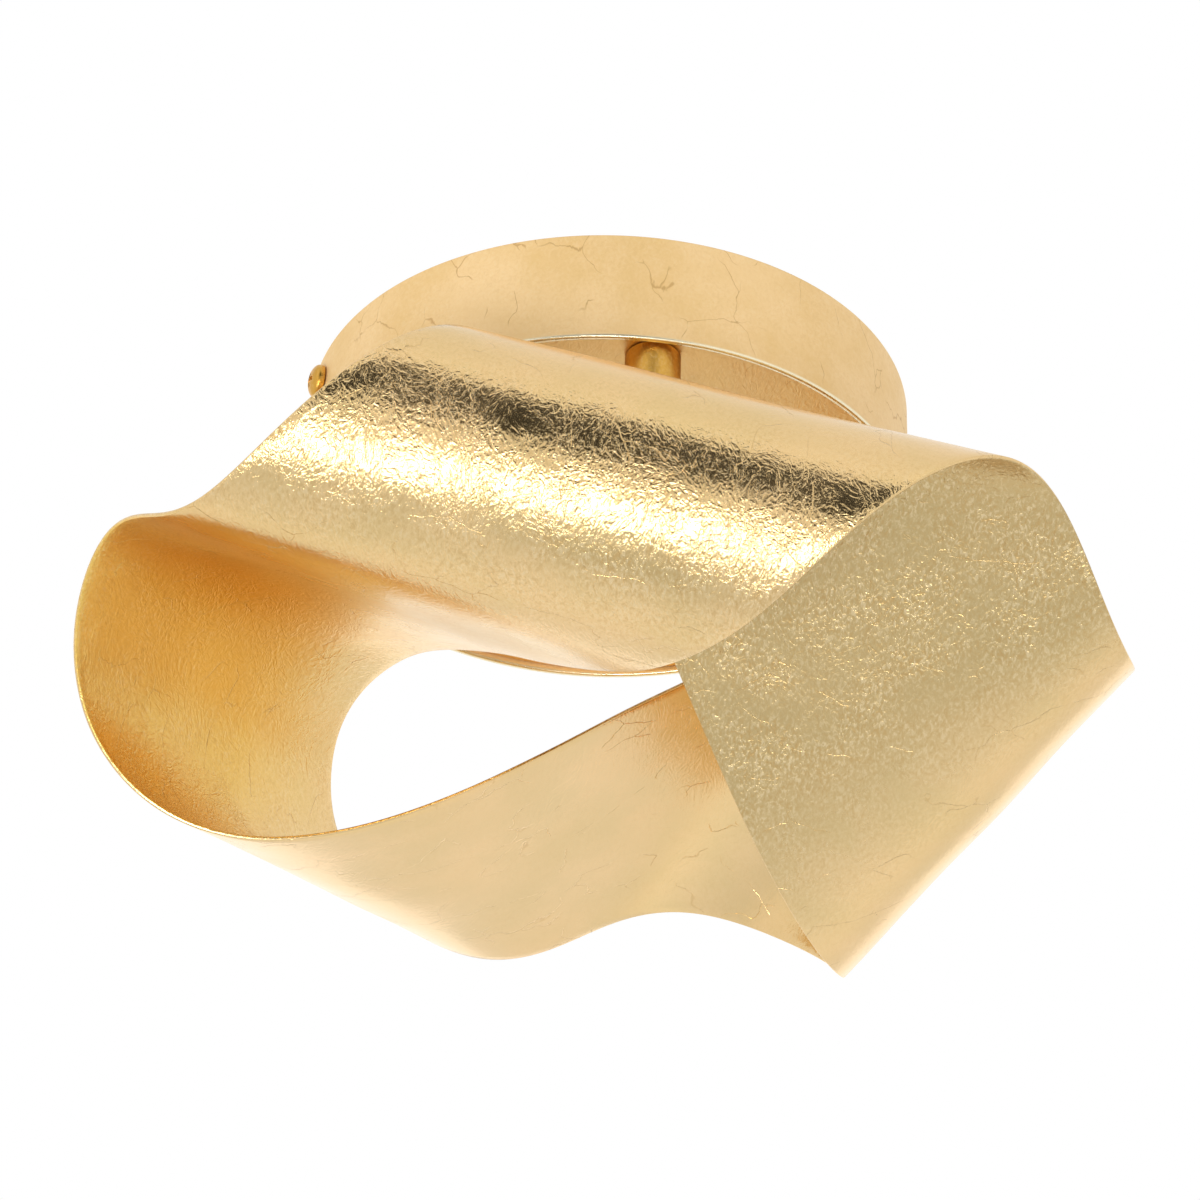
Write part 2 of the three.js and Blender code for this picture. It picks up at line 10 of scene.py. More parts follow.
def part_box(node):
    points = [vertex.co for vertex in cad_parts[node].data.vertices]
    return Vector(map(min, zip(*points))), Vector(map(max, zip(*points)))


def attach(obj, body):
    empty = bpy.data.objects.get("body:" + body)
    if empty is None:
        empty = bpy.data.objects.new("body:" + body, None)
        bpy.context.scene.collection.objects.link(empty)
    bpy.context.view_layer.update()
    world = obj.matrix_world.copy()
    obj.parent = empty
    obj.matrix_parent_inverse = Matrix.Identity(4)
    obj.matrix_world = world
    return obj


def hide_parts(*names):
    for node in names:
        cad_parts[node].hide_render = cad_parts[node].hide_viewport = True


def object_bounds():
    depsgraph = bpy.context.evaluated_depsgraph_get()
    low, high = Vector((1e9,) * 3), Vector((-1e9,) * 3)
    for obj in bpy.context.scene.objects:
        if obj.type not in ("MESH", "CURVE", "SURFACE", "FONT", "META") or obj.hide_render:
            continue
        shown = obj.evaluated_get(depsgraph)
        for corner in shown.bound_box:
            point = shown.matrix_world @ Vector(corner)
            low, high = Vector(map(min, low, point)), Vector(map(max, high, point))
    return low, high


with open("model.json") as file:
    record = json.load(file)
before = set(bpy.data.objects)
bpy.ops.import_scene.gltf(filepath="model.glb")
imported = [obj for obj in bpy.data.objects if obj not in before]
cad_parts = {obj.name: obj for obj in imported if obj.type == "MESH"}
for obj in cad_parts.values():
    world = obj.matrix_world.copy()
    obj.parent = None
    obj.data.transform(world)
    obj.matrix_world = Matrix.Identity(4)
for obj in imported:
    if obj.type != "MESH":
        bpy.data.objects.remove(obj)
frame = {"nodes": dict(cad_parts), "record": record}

cadBounds = [list(corner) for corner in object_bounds()]   # the CAD box, before anything is added
nodes = frame["nodes"]
mm = 0.001
print("frame loaded:", len(nodes), "nodes")


# Camera

cameraView = {
    "elevation": -33.43,        # degrees; below the lamp, looking up
    "roll": 1.29,               # degrees
    "distance": 1406.7,         # mm from the origin, along the line of sight
    "aim": (-2.83, -55.8),      # mm right and up of the origin at the picture's middle
    "lens": 139.2,              # mm
    "sensor": 36,               # mm
    "clip": (0.01, 50),         # m
}


def makeCamera(view):
    elevation, roll = math.radians(view["elevation"]), math.radians(view["roll"])
    forward = Vector((0, math.cos(elevation), -math.sin(elevation)))
    flatRight = Vector((1, 0, 0))
    flatUp = flatRight.cross(forward)
    right = math.cos(roll) * flatRight + math.sin(roll) * flatUp
    up = math.cos(roll) * flatUp - math.sin(roll) * flatRight
    place = (view["aim"][0] * right + view["aim"][1] * up - view["distance"] * forward) * mm
    data = bpy.data.cameras.new("photoCamera")
    data.sensor_width = view["sensor"]
    data.lens = view["lens"]
    data.clip_start, data.clip_end = view["clip"]
    camera = bpy.data.objects.new("photoCamera", data)
    turn = Matrix((right, up, -forward)).transposed().to_4x4()
    camera.matrix_world = Matrix.Translation(place) @ turn
    bpy.context.scene.collection.objects.link(camera)
    bpy.context.scene.camera = camera


makeCamera(cameraView)
print("camera set")


# Shader helpers

def nodeIn(tree, kind, **settings):
    node = tree.nodes.new(kind)
    for name, value in settings.items():
        setattr(node, name, value)
    return node


# A node's socket is linked, and anything else is set on the input itself
def feed(tree, socket, value):
    if isinstance(value, bpy.types.NodeSocket):
        tree.links.new(value, socket)
    else:
        socket.default_value = value


def setInputs(tree, node, **values):
    for name, value in values.items():
        feed(tree, node.inputs[name.replace("_", " ")], value)
    return node


def mathIn(tree, operation, *values, clamp=False):
    node = nodeIn(tree, "ShaderNodeMath", operation=operation, use_clamp=clamp)
    for socket, value in zip(node.inputs, values):
        feed(tree, socket, value)
    return node.outputs["Value"]


def vectorIn(tree, operation, *values):
    node = nodeIn(tree, "ShaderNodeVectorMath", operation=operation)
    for socket, value in zip(node.inputs, values):
        feed(tree, socket, value)
    return node.outputs["Value" if operation in ("DOT_PRODUCT", "LENGTH") else "Vector"]


def rampIn(tree, value, low, high, start=0.0, end=1.0, shape="SMOOTHSTEP"):
    node = nodeIn(tree, "ShaderNodeMapRange", interpolation_type=shape)
    setInputs(tree, node, Value=value, From_Min=low, From_Max=high, To_Min=start, To_Max=end)
    return node.outputs["Result"]


def mixIn(tree, factor, first, second):
    node = nodeIn(tree, "ShaderNodeMix", data_type="RGBA")
    return setInputs(tree, node, Factor=factor, A=first, B=second).outputs["Result"]


def noiseIn(tree, vector, scale, detail, roughness, output="Fac"):
    node = nodeIn(tree, "ShaderNodeTexNoise")
    setInputs(tree, node, Vector=vector, Scale=scale, Detail=detail, Roughness=roughness)
    return node.outputs[output]


def bumpIn(tree, height, strength, distance):
    node = nodeIn(tree, "ShaderNodeBump")
    return setInputs(tree, node, Height=height, Strength=strength, Distance=distance).outputs["Normal"]


def groupSockets(tree, side, kind, names, value=None):
    for name in names:
        socket = tree.interface.new_socket(name=name, in_out=side, socket_type=kind)
        if value is not None:
            socket.default_value = value


def newMaterial(name):
    material = bpy.data.materials.new(name)
    material.use_nodes = True
    return material, material.node_tree, material.node_tree.nodes["Principled BSDF"]


# Studio: a white surround, a pale floor far below, and soft boxes

studio = {
    "floorDrop": 2.4,           # m under the mounting face, below the lowest camera
    "floorSize": 60.0,          # m
    # the floor's colour near the middle is painted shade; it fades out to the far colour
    "floorShade": (0.78, 0.81, 0.86, 1),
    "floorFar": (0.98, 0.98, 0.98, 1),
    "floorFade": (1.2, 4.5),    # m from the middle
    "floorRoughness": 0.9,
    "white": (1, 1, 1, 1),
    "surround": 1.21,           # light from all round
    "surroundTop": 0.73,        # its share straight above
    "surroundSides": 0.72,      # its share straight left and right
    "surroundFall": (0.25, 1.0),    # how far up or sideways the light begins to fall, and where it ends
    "darkAim": (180, 12),       # the dim side of the room: azimuth and elevation in degrees
    "darkReach": (23, 28),      # degrees from there where the dimness is full and where it ends
    "darkLevel": 0.04,
    "boxAim": (-160, -42),      # the main soft box, beside the camera: azimuth and elevation
    "boxDistance": 1.9,         # m
    "boxSize": (1.3, 0.40),     # m
    "boxPower": 14,             # W
    "haloDistance": 2.0,        # a wider, dimmer box behind it
    "haloSize": (2.2, 0.65),
    "haloPower": 3.5,
    "glowPlace": (0.4, 2.2, -0.6),  # a light over the floor behind the lamp
    "glowSize": (2.4, 2.4),
    "glowPower": 11,
}


def aimVector(azimuth, elevation):
    a, e = math.radians(azimuth), math.radians(elevation)
    return Vector((math.sin(a) * math.cos(e), math.cos(a) * math.cos(e), math.sin(e)))


def softBox(name, place, toward, size, power):
    data = bpy.data.lights.new(name, "AREA")
    data.shape = "RECTANGLE"
    data.size, data.size_y = size
    data.energy = power
    box = bpy.data.objects.new(name, data)
    turn = toward.to_track_quat("-Z", "Y").to_matrix().to_4x4()
    box.matrix_world = Matrix.Translation(place) @ turn
    box.visible_camera = False
    bpy.context.scene.collection.objects.link(box)


# Light by direction: dim on one side, weaker towards the top and sides; the camera itself sees plain white
def makeSurround(sizes):
    world = bpy.data.worlds.new("surround")
    bpy.context.scene.world = world
    world.use_nodes = True
    tree = world.node_tree
    tree.nodes.clear()
    link = tree.links.new
    direction = nodeIn(tree, "ShaderNodeTexCoord").outputs["Generated"]
    dark = vectorIn(tree, "DOT_PRODUCT", direction, aimVector(*sizes["darkAim"]))
    full, end = (math.cos(math.radians(reach)) for reach in sizes["darkReach"])
    strength = rampIn(tree, dark, end, full, sizes["surround"], sizes["darkLevel"], "SMOOTHERSTEP")
    split = setInputs(tree, nodeIn(tree, "ShaderNodeSeparateXYZ"), Vector=direction)
    across = mathIn(tree, "ABSOLUTE", split.outputs["X"])
    for share, value in (("surroundTop", split.outputs["Z"]), ("surroundSides", across)):
        fall = rampIn(tree, value, *sizes["surroundFall"], 1.0, sizes[share])
        strength = mathIn(tree, "MULTIPLY", strength, fall)
    room = setInputs(tree, nodeIn(tree, "ShaderNodeBackground"), Color=sizes["white"], Strength=strength)
    seen = setInputs(tree, nodeIn(tree, "ShaderNodeBackground"), Color=sizes["white"])
    path = nodeIn(tree, "ShaderNodeLightPath")
    mix = nodeIn(tree, "ShaderNodeMixShader")
    for socket, value in zip(mix.inputs, (path.outputs["Is Camera Ray"], room.outputs[0], seen.outputs[0])):
        link(value, socket)
    link(mix.outputs[0], nodeIn(tree, "ShaderNodeOutputWorld").inputs["Surface"])


# Pale paper with painted shade round the middle, whiter far out: colour by the distance from the middle
def floorPaper(sizes):
    paper, tree, shader = newMaterial("floorPaper")
    place = nodeIn(tree, "ShaderNodeTexCoord").outputs["Object"]
    out = vectorIn(tree, "LENGTH", vectorIn(tree, "MULTIPLY", place, (1, 1, 0)))
    color = mixIn(tree, rampIn(tree, out, *sizes["floorFade"]), sizes["floorShade"], sizes["floorFar"])
    setInputs(tree, shader, Base_Color=color, Roughness=sizes["floorRoughness"])
    return paper


def makeStudio(sizes):
    middle = (Vector(cadBounds[0]) + Vector(cadBounds[1])) / 2
    half = sizes["floorSize"] / 2
    corners = [(-half, -half), (half, -half), (half, half), (-half, half)]
    mesh = bpy.data.meshes.new("studioFloor")
    mesh.from_pydata([(x, y, -sizes["floorDrop"]) for x, y in corners], [], [(0, 1, 2, 3)])
    floor = bpy.data.objects.new("studioFloor", mesh)
    bpy.context.scene.collection.objects.link(floor)
    mesh.materials.append(floorPaper(sizes))
    toBox = aimVector(*sizes["boxAim"])
    softBox("mainBox", middle + toBox * sizes["boxDistance"], -toBox, sizes["boxSize"], sizes["boxPower"])
    softBox("haloBox", middle + toBox * sizes["haloDistance"], -toBox, sizes["haloSize"], sizes["haloPower"])
    softBox("floorGlow", Vector(sizes["glowPlace"]), Vector((0, 0, -1)),
            sizes["glowSize"], sizes["glowPower"])
    makeSurround(sizes)
    bpy.context.scene.view_settings.view_transform = "Standard"


makeStudio(studio)
print("studio set")


# Leaf: hand-laid metal leaf with a crumple of small folds, a fine grain and a few long hairline creases.
# Height = ridges of a noise + grain + strokes + borders of small and of wide cells - hairlines along the
# # widest cells. Two outputs mark the light and dark specks of the crumple: painted highlights and painted
# shade

leafForm = {
    "slantTurn": (0.5, 0.35, 0.7),                      # radians
    "slantStretch": (1.0, 0.5, 0.8),
    "wanderNoise": (2.0, 0.55),                         # detail and roughness
    "foldWander": ((45.0, 0.016), (260.0, 0.0032)),     # wanderings as scale per m and reach in m
    "speckWander": ((330.0, 0.0024),),
    "hairWander": ((70.0, 0.012), (420.0, 0.0012)),
    "ridgeNoise": (430.0, 2.0, 0.5),                    # noises as scale, detail and roughness
    "ridgeWidth": 0.17,
    "ridgeHeight": 0.42,
    "grainNoise": (1150.0, 3.0, 0.6),
    "grainHeight": 0.42,
    "speckNoise": (1050.0, 2.0, 0.65),
    "strokeRange": (0.50, 0.66),                        # ranges of a noise, from none to all
    "strokeHeight": 0.35,
    "speckShadeRange": (0.34, 0.50),                          # this one from all to none
    "smallCells": (520.0, 0.22),                        # cells as scale and width of their borders
    "smallHeight": 0.34,
    "smallNoise": (62.0, 2.0, 0.5),                     # where the small folds are strong
    "smallRange": (0.30, 0.60),
    "smallLeast": 0.45,
    "wideCells": (150.0, 0.05),
    "wideHeight": 0.22,
    "wideNoise": (34.0, 1.0, 0.5),
    "wideRange": (0.46, 0.62),
    "hairCells": (46.0, 0.0085),
    "hairDepth": 0.4,
    "hairNoise": (75.0, 2.0, 0.5),
    "hairRange": (0.47, 0.58),
    "toneNoise": (30.0, 4.0, 0.6),
    "toneRange": (0.3, 0.7),
}


def makeLeafGroup(form):
    tree = bpy.data.node_groups.new("leafFolds", "ShaderNodeTree")
    groupSockets(tree, "INPUT", "NodeSocketVector", ("Vector", "Crease Vector"))
    groupSockets(tree, "INPUT", "NodeSocketFloat", ("Fold Amount", "Crease Amount"), 1.0)
    groupSockets(tree, "OUTPUT", "NodeSocketFloat", ("Height", "Crease", "Stroke", "Dent", "Tone"))
    given = nodeIn(tree, "NodeGroupInput").outputs
    result = nodeIn(tree, "NodeGroupOutput")

    # coordinates that wander, so that no fold runs straight
    def wandering(vector, wanders):
        for scale, reach in wanders:
            noise = noiseIn(tree, vector, scale, *form["wanderNoise"], "Color")
            centred = vectorIn(tree, "SUBTRACT", noise, (0.5, 0.5, 0.5))
            vector = vectorIn(tree, "MULTIPLY_ADD", centred, (reach, reach, reach), vector)
        return vector

    def cellBorders(vector, scale, width):
        cells = nodeIn(tree, "ShaderNodeTexVoronoi", feature="DISTANCE_TO_EDGE")
        setInputs(tree, cells, Vector=vector, Scale=scale)
        return rampIn(tree, cells.outputs["Distance"], 0.0, width, 1.0, 0.0)

    def times(first, second):
        return mathIn(tree, "MULTIPLY", first, second)

    # where a kind of fold shows
    def places(kind, least=0.0):
        noise = noiseIn(tree, given["Vector"], *form[f"{kind}Noise"])
        return rampIn(tree, noise, *form[f"{kind}Range"], least)

    slant = nodeIn(tree, "ShaderNodeMapping")
    setInputs(tree, slant, Vector=given["Vector"], Rotation=form["slantTurn"], Scale=form["slantStretch"])
    slanted = slant.outputs["Vector"]
    bent = wandering(slanted, form["foldWander"])
    centred = mathIn(tree, "SUBTRACT", noiseIn(tree, bent, *form["ridgeNoise"]), 0.5)
    ridge = rampIn(tree, mathIn(tree, "ABSOLUTE", centred), 0.0, form["ridgeWidth"], 1.0, 0.0)
    small, wide = places("small", form["smallLeast"]), places("wide")
    much = times(small, given["Fold Amount"])
    specks = noiseIn(tree, wandering(slanted, form["speckWander"]), *form["speckNoise"])
    stroke = times(rampIn(tree, specks, *form["strokeRange"]), much)
    speckShade = times(rampIn(tree, specks, *form["speckShadeRange"], 1.0, 0.0), much)
    folds = times(ridge, form["ridgeHeight"])
    for kind, height in (("grain", noiseIn(tree, bent, *form["grainNoise"])), ("stroke", stroke),
                         ("small", times(cellBorders(bent, *form["smallCells"]), small)),
                         ("wide", times(cellBorders(bent, *form["wideCells"]), wide))):
        folds = mathIn(tree, "ADD", folds, times(height, form[f"{kind}Height"]))
    folds = times(folds, given["Fold Amount"])
    hair = cellBorders(wandering(given["Crease Vector"], form["hairWander"]), *form["hairCells"])
    crease = mathIn(tree, "MULTIPLY", times(hair, places("hair")), given["Crease Amount"], clamp=True)
    height = mathIn(tree, "SUBTRACT", folds, times(crease, form["hairDepth"]))
    setInputs(tree, result, Height=height, Crease=crease, Stroke=stroke, Dent=speckShade,
              Tone=noiseIn(tree, given["Vector"], *form["toneNoise"]))
    return tree


leafGroup = makeLeafGroup(leafForm)


def leafMaterial(name, values):
    material, tree, shader = newMaterial(name)
    place = nodeIn(tree, "ShaderNodeTexCoord").outputs["Object"]
    along = setInputs(tree, nodeIn(tree, "ShaderNodeMapping"), Vector=place, Scale=values["creaseStretch"])
    leaf = nodeIn(tree, "ShaderNodeGroup", node_tree=leafGroup)
    setInputs(tree, leaf, Vector=place, Crease_Vector=along.outputs["Vector"],
              Crease_Amount=values["creases"], Fold_Amount=values["folds"])
    tone = leaf.outputs["Tone"]
    color = mixIn(tree, rampIn(tree, tone, *leafForm["toneRange"]), *values["colors"])
    rough = rampIn(tree, tone, *leafForm["toneRange"], *values["roughness"])

    def tinted(color, mask, amount, tint):
        return mixIn(tree, mathIn(tree, "MULTIPLY", mask, amount), color, tint)

    if "shades" in values:   # leaf that differs along the ribbon: more folded; duller, with painted shade; with a painted reflection of gold on gold
        handled, dullShaded, deep = (nodeIn(tree, "ShaderNodeAttribute", attribute_name=shade).outputs["Fac"]
                               for shade in values["shades"])
        setInputs(tree, leaf, Fold_Amount=mathIn(tree, "MULTIPLY", handled, values["folds"]))
        for kind, mask in (("dullShaded", dullShaded), ("deep", deep)):
            color = tinted(color, mask, values[f"{kind}Tint"], values[f"{kind}Color"])
            rough = mathIn(tree, "ADD", rough, mathIn(tree, "MULTIPLY", mask, values[f"{kind}Rough"]))
    # painted highlights and painted shade: the light and dark specks of the crumple lighten and darken the
    # colour
    color = tinted(color, leaf.outputs["Stroke"], values["speckLightTint"], values["speckLightColor"])
    color = tinted(color, leaf.outputs["Dent"], values["speckShadeTint"], values["creaseAndShadeColor"])
    color = tinted(color, leaf.outputs["Crease"], values["creaseTint"], values["creaseAndShadeColor"])
    metallic = values["metallic"]
    if "rim" in values:   # the lower rim gets a painted highlight: a pale colour, with less roughness and full metal
        split = setInputs(tree, nodeIn(tree, "ShaderNodeSeparateXYZ"), Vector=place)
        rimHighlight = rampIn(tree, split.outputs["Z"], *values["rim"], 1.0, 0.0)
        color = tinted(color, rimHighlight, values["rimHighlightTint"], values["rimHighlightColor"])
        rough = mathIn(tree, "SUBTRACT", rough, mathIn(tree, "MULTIPLY", rimHighlight, values["rimShine"]))
        metallic = rampIn(tree, rimHighlight, 0.0, 1.0, metallic, 1.0)
    normal = bumpIn(tree, leaf.outputs["Height"], values["bumpStrength"], values["bumpHeight"])
    setInputs(tree, shader, Base_Color=color, Roughness=rough, Metallic=metallic, Normal=normal)
    return material


ribbonLeaf = leafMaterial("ribbonLeaf", {
    "colors": ((0.85, 0.61, 0.285, 1), (0.925, 0.645, 0.315, 1)),
    "creaseAndShadeColor": (0.60, 0.36, 0.12, 1), "creaseTint": 0.34, "speckShadeTint": 0.5,
    "speckLightColor": (1.0, 0.80, 0.48, 1), "speckLightTint": 0.5,
    # duller leaf: a little rougher, and darker in colour as painted shade
    "dullShadedColor": (0.60, 0.445, 0.205, 1), "dullShadedTint": 0.86, "dullShadedRough": 0.13,
    # painted reflection: a warm orange where gold reflects gold, a little rougher too
    "deepColor": (0.97, 0.63, 0.13, 1), "deepTint": 0.8, "deepRough": 0.15,
    "folds": 1.0, "shades": ("handled", "dullShaded", "paintedBounce"),
    "creases": 1.0, "creaseStretch": (0.8, 1.0, 0.45),
    "roughness": (0.17, 0.25), "metallic": 1.0, "bumpStrength": 0.7, "bumpHeight": 0.0003,
})
canopyLeaf = leafMaterial("canopyLeaf", {
    "colors": ((0.89, 0.605, 0.255, 1), (0.97, 0.70, 0.36, 1)),
    "creaseAndShadeColor": (0.54, 0.28, 0.07, 1), "creaseTint": 0.6, "speckShadeTint": 0.16,
    "speckLightColor": (1.0, 0.82, 0.52, 1), "speckLightTint": 0.3,
    "folds": 0.5, "creases": 1.0, "creaseStretch": (1.0, 1.0, 0.7),
    "roughness": (0.56, 0.64), "metallic": 0.4, "bumpStrength": 0.5, "bumpHeight": 0.00022,
    "rim": (-0.0366, -0.0358),      # heights in m where the painted highlight is full and where it ends
    "rimHighlightTint": 0.95, "rimHighlightColor": (1.0, 0.92, 0.68, 1), "rimShine": 0.34,
})
# plate: a little darker and more orange than the canopy, as painted shade and painted reflection of gold
plateLeaf = leafMaterial("plateLeaf", {
    "colors": ((0.87, 0.60, 0.25, 1), (0.94, 0.67, 0.31, 1)),
    "creaseAndShadeColor": (0.54, 0.28, 0.07, 1), "creaseTint": 0.5, "speckShadeTint": 0.2,
    "speckLightColor": (1.0, 0.80, 0.46, 1), "speckLightTint": 0.4,
    "folds": 0.6, "creases": 0.8, "creaseStretch": (1.0, 1.0, 1.0),
    "roughness": (0.34, 0.42), "metallic": 1.0, "bumpStrength": 0.5, "bumpHeight": 0.0002,
})
# fittings: a deeper orange than the canopy, as painted shade and painted reflection of the gold round them
fittingLeaf = leafMaterial("fittingLeaf", {
    "colors": ((0.70, 0.38, 0.065, 1), (0.78, 0.44, 0.09, 1)),
    "creaseAndShadeColor": (0.52, 0.25, 0.06, 1), "creaseTint": 0.5, "speckShadeTint": 0.2,
    "speckLightColor": (0.95, 0.72, 0.36, 1), "speckLightTint": 0.4,
    "folds": 0.6, "creases": 0.6, "creaseStretch": (1.0, 1.0, 1.0),
    "roughness": (0.30, 0.38), "metallic": 1.0, "bumpStrength": 0.5, "bumpHeight": 0.0002,
})
print("leaf finishes made")


# Grain: a fine even grain and a slow mottle, for the plain finishes. The vector is stretched first, so that
# one scale per direction gives brushing, turning marks or moulded texture

grainForm = {
    "Grain": {"detail": 4.0, "roughness": 0.65, "range": (0.3, 0.7)},
    "Mottle": {"detail": 3.0, "roughness": 0.55, "range": (0.34, 0.66)},
}


def makeGrainGroup(form):
    tree = bpy.data.node_groups.new("plainGrain", "ShaderNodeTree")
    groupSockets(tree, "INPUT", "NodeSocketVector", ("Vector",))
    groupSockets(tree, "INPUT", "NodeSocketFloat", [f"{name} Scale" for name in form])
    groupSockets(tree, "OUTPUT", "NodeSocketFloat", form)
    given = nodeIn(tree, "NodeGroupInput").outputs
    result = nodeIn(tree, "NodeGroupOutput")
    for name, sizes in form.items():
        noise = noiseIn(tree, given["Vector"], given[f"{name} Scale"], sizes["detail"], sizes["roughness"])
        setInputs(tree, result, **{name: rampIn(tree, noise, *sizes["range"])})
    return tree


grainGroup = makeGrainGroup(grainForm)

plainUsual = {
    "turn": 0,                  # degrees about Z
    "stretch": (1, 1, 1),
    "grainScale": 1500.0,       # per m
    "mottleScale": 60.0,
    "metallic": 0.0,
    "coat": 0.0,
    "subsurface": 0.0,
    "subsurfaceRadius": (0.004, 0.0035, 0.003),
    "bumpStrength": 0.6,
    "bump": 0.00002,            # m
}


def plainMaterial(name, values):
    values = {**plainUsual, **values}
    material, tree, shader = newMaterial(name)
    place = nodeIn(tree, "ShaderNodeTexCoord").outputs["Object"]
    stretch = nodeIn(tree, "ShaderNodeMapping", vector_type="TEXTURE")   # turned first, then drawn out
    setInputs(tree, stretch, Vector=place, Rotation=(0, 0, math.radians(values["turn"])),
              Scale=values["stretch"])
    group = nodeIn(tree, "ShaderNodeGroup", node_tree=grainGroup)
    setInputs(tree, group, Vector=stretch.outputs["Vector"], Grain_Scale=values["grainScale"],
              Mottle_Scale=values["mottleScale"])
    grain, mottle = group.outputs["Grain"], group.outputs["Mottle"]
    dark, light = ((*color, 1) for color in values["colors"])
    setInputs(tree, shader, Base_Color=mixIn(tree, mottle, dark, light),
              Roughness=rampIn(tree, grain, 0.0, 1.0, *values["roughness"]),
              Metallic=values["metallic"], Coat_Weight=values["coat"],
              Subsurface_Weight=values["subsurface"], Subsurface_Radius=values["subsurfaceRadius"],
              Normal=bumpIn(tree, grain, values["bumpStrength"], values["bump"]))
    return material


plainFinish = {
    "zinc_steel": ("zincSteel", {
        "colors": ((0.56, 0.58, 0.60), (0.68, 0.68, 0.65)), "roughness": (0.28, 0.46), "metallic": 1.0,
        "turn": 18, "stretch": (8, 1, 1), "grainScale": 2200.0, "mottleScale": 160.0, "bump": 0.00001}),
    "brass_screw": ("screwBrass", {
        "colors": ((0.66, 0.48, 0.20), (0.76, 0.58, 0.28)), "roughness": (0.22, 0.38), "metallic": 1.0,
        "grainScale": 2600.0, "mottleScale": 220.0, "bump": 0.00001}),
    "bare_aluminium": ("spunAluminium", {
        "colors": ((0.68, 0.69, 0.70), (0.76, 0.77, 0.78)), "roughness": (0.30, 0.48), "metallic": 1.0,
        "stretch": (1, 12.5, 1), "grainScale": 1800.0, "mottleScale": 50.0, "bump": 0.000012}),
    "white_mask": ("whiteMask", {
        "colors": ((0.84, 0.85, 0.83), (0.89, 0.89, 0.87)), "roughness": (0.38, 0.5),
        "mottleScale": 80.0, "coat": 0.15}),
    "phosphor": ("phosphor", {
        "colors": ((0.86, 0.62, 0.06), (0.92, 0.74, 0.12)), "roughness": (0.4, 0.55),
        "grainScale": 5000.0, "mottleScale": 900.0, "coat": 0.3}),
    "opal_acrylic": ("opalAcrylic", {
        "colors": ((0.87, 0.87, 0.84), (0.91, 0.91, 0.89)), "roughness": (0.30, 0.38),
        "grainScale": 2400.0, "mottleScale": 30.0, "bump": 0.000006, "subsurface": 0.35, "coat": 0.1}),
    "white_plastic": ("whitePlastic", {
        "colors": ((0.76, 0.76, 0.73), (0.83, 0.83, 0.80)), "roughness": (0.42, 0.58),
        "grainScale": 2600.0, "mottleScale": 45.0, "bump": 0.00004}),
    "green_board": ("greenBoard", {
        "colors": ((0.02, 0.11, 0.04), (0.04, 0.19, 0.08)), "roughness": (0.3, 0.48),
        "mottleScale": 300.0, "coat": 0.3}),
    "copper_coil": ("copperCoil", {
        "colors": ((0.36, 0.13, 0.04), (0.50, 0.22, 0.08)), "roughness": (0.25, 0.42), "metallic": 1.0,
        "stretch": (20, 20, 1), "grainScale": 1600.0, "mottleScale": 900.0, "bump": 0.0001}),
    "black_plastic": ("blackSleeve", {
        "colors": ((0.014, 0.014, 0.016), (0.030, 0.030, 0.034)), "roughness": (0.3, 0.5), "coat": 0.1}),
}
wireFinish = {"roughness": (0.34, 0.5), "grainScale": 2400.0, "mottleScale": 240.0, "bump": 0.00003}
wireColors = {
    "brown_lead": ("brownWire", (0.10, 0.035, 0.012), (0.16, 0.06, 0.022)),
    "blue_lead": ("blueWire", (0.018, 0.08, 0.30), (0.03, 0.13, 0.42)),
    "red_lead": ("redWire", (0.36, 0.014, 0.01), (0.48, 0.03, 0.02)),
    "black_lead": ("blackWire", (0.010, 0.010, 0.012), (0.022, 0.022, 0.024)),
}

slotFinish = {"gold_leaf": plateLeaf}
for slot, (name, values) in plainFinish.items():
    slotFinish[slot] = plainMaterial(name, values)
for slot, (name, dark, light) in wireColors.items():
    slotFinish[slot] = plainMaterial(name, {**wireFinish, "colors": (dark, light)})
print("plain finishes made")


# Mesh helpers

meshing = {
    "merge": 1e-7,              # m; points nearer than this become one
    "sliver": 1e-8,             # m; shorter edges go
    "sharp": 40,                # degrees; sharper edges are shaded as edges
}


# A mesh becomes a piece: smooth faces, a finish, and its place in the frame
def addPiece(name, mesh, sharp, body, slot, node, material=None):
    mesh.polygons.foreach_set("use_smooth", np.ones(len(mesh.polygons), bool))
    mesh.set_sharp_from_angle(angle=math.radians(sharp))
    mesh.materials.clear()
    mesh.materials.append(material or slotFinish[slot])
    piece = bpy.data.objects.new(name, mesh)
    bpy.context.scene.collection.objects.link(piece)
    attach(piece, body)
    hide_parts(node)
    return piece


def newPiece(name, points, faces, body, slot, node, material=None):
    mesh = bpy.data.meshes.new(name)
    mesh.from_pydata(points.reshape(-1, 3), [], faces.tolist())
    build = bmesh.new()
    build.from_mesh(mesh)
    bmesh.ops.remove_doubles(build, verts=build.verts, dist=meshing["merge"])
    bmesh.ops.dissolve_degenerate(build, edges=build.edges, dist=meshing["sliver"])
    build.to_mesh(mesh)
    build.free()
    return addPiece(name, mesh, meshing["sharp"], body, slot, node, material)


# Quads of a grid of rows by columns, each row closed on itself
def gridQuads(rows, columns):
    i, j = np.meshgrid(np.arange(rows - 1), np.arange(columns), indexing="ij")
    down, across = i + 1, (j + 1) % columns
    quads = np.stack([i * columns + j, i * columns + across, down * columns + across, down * columns + j], -1)
    return quads.reshape(-1, 4)


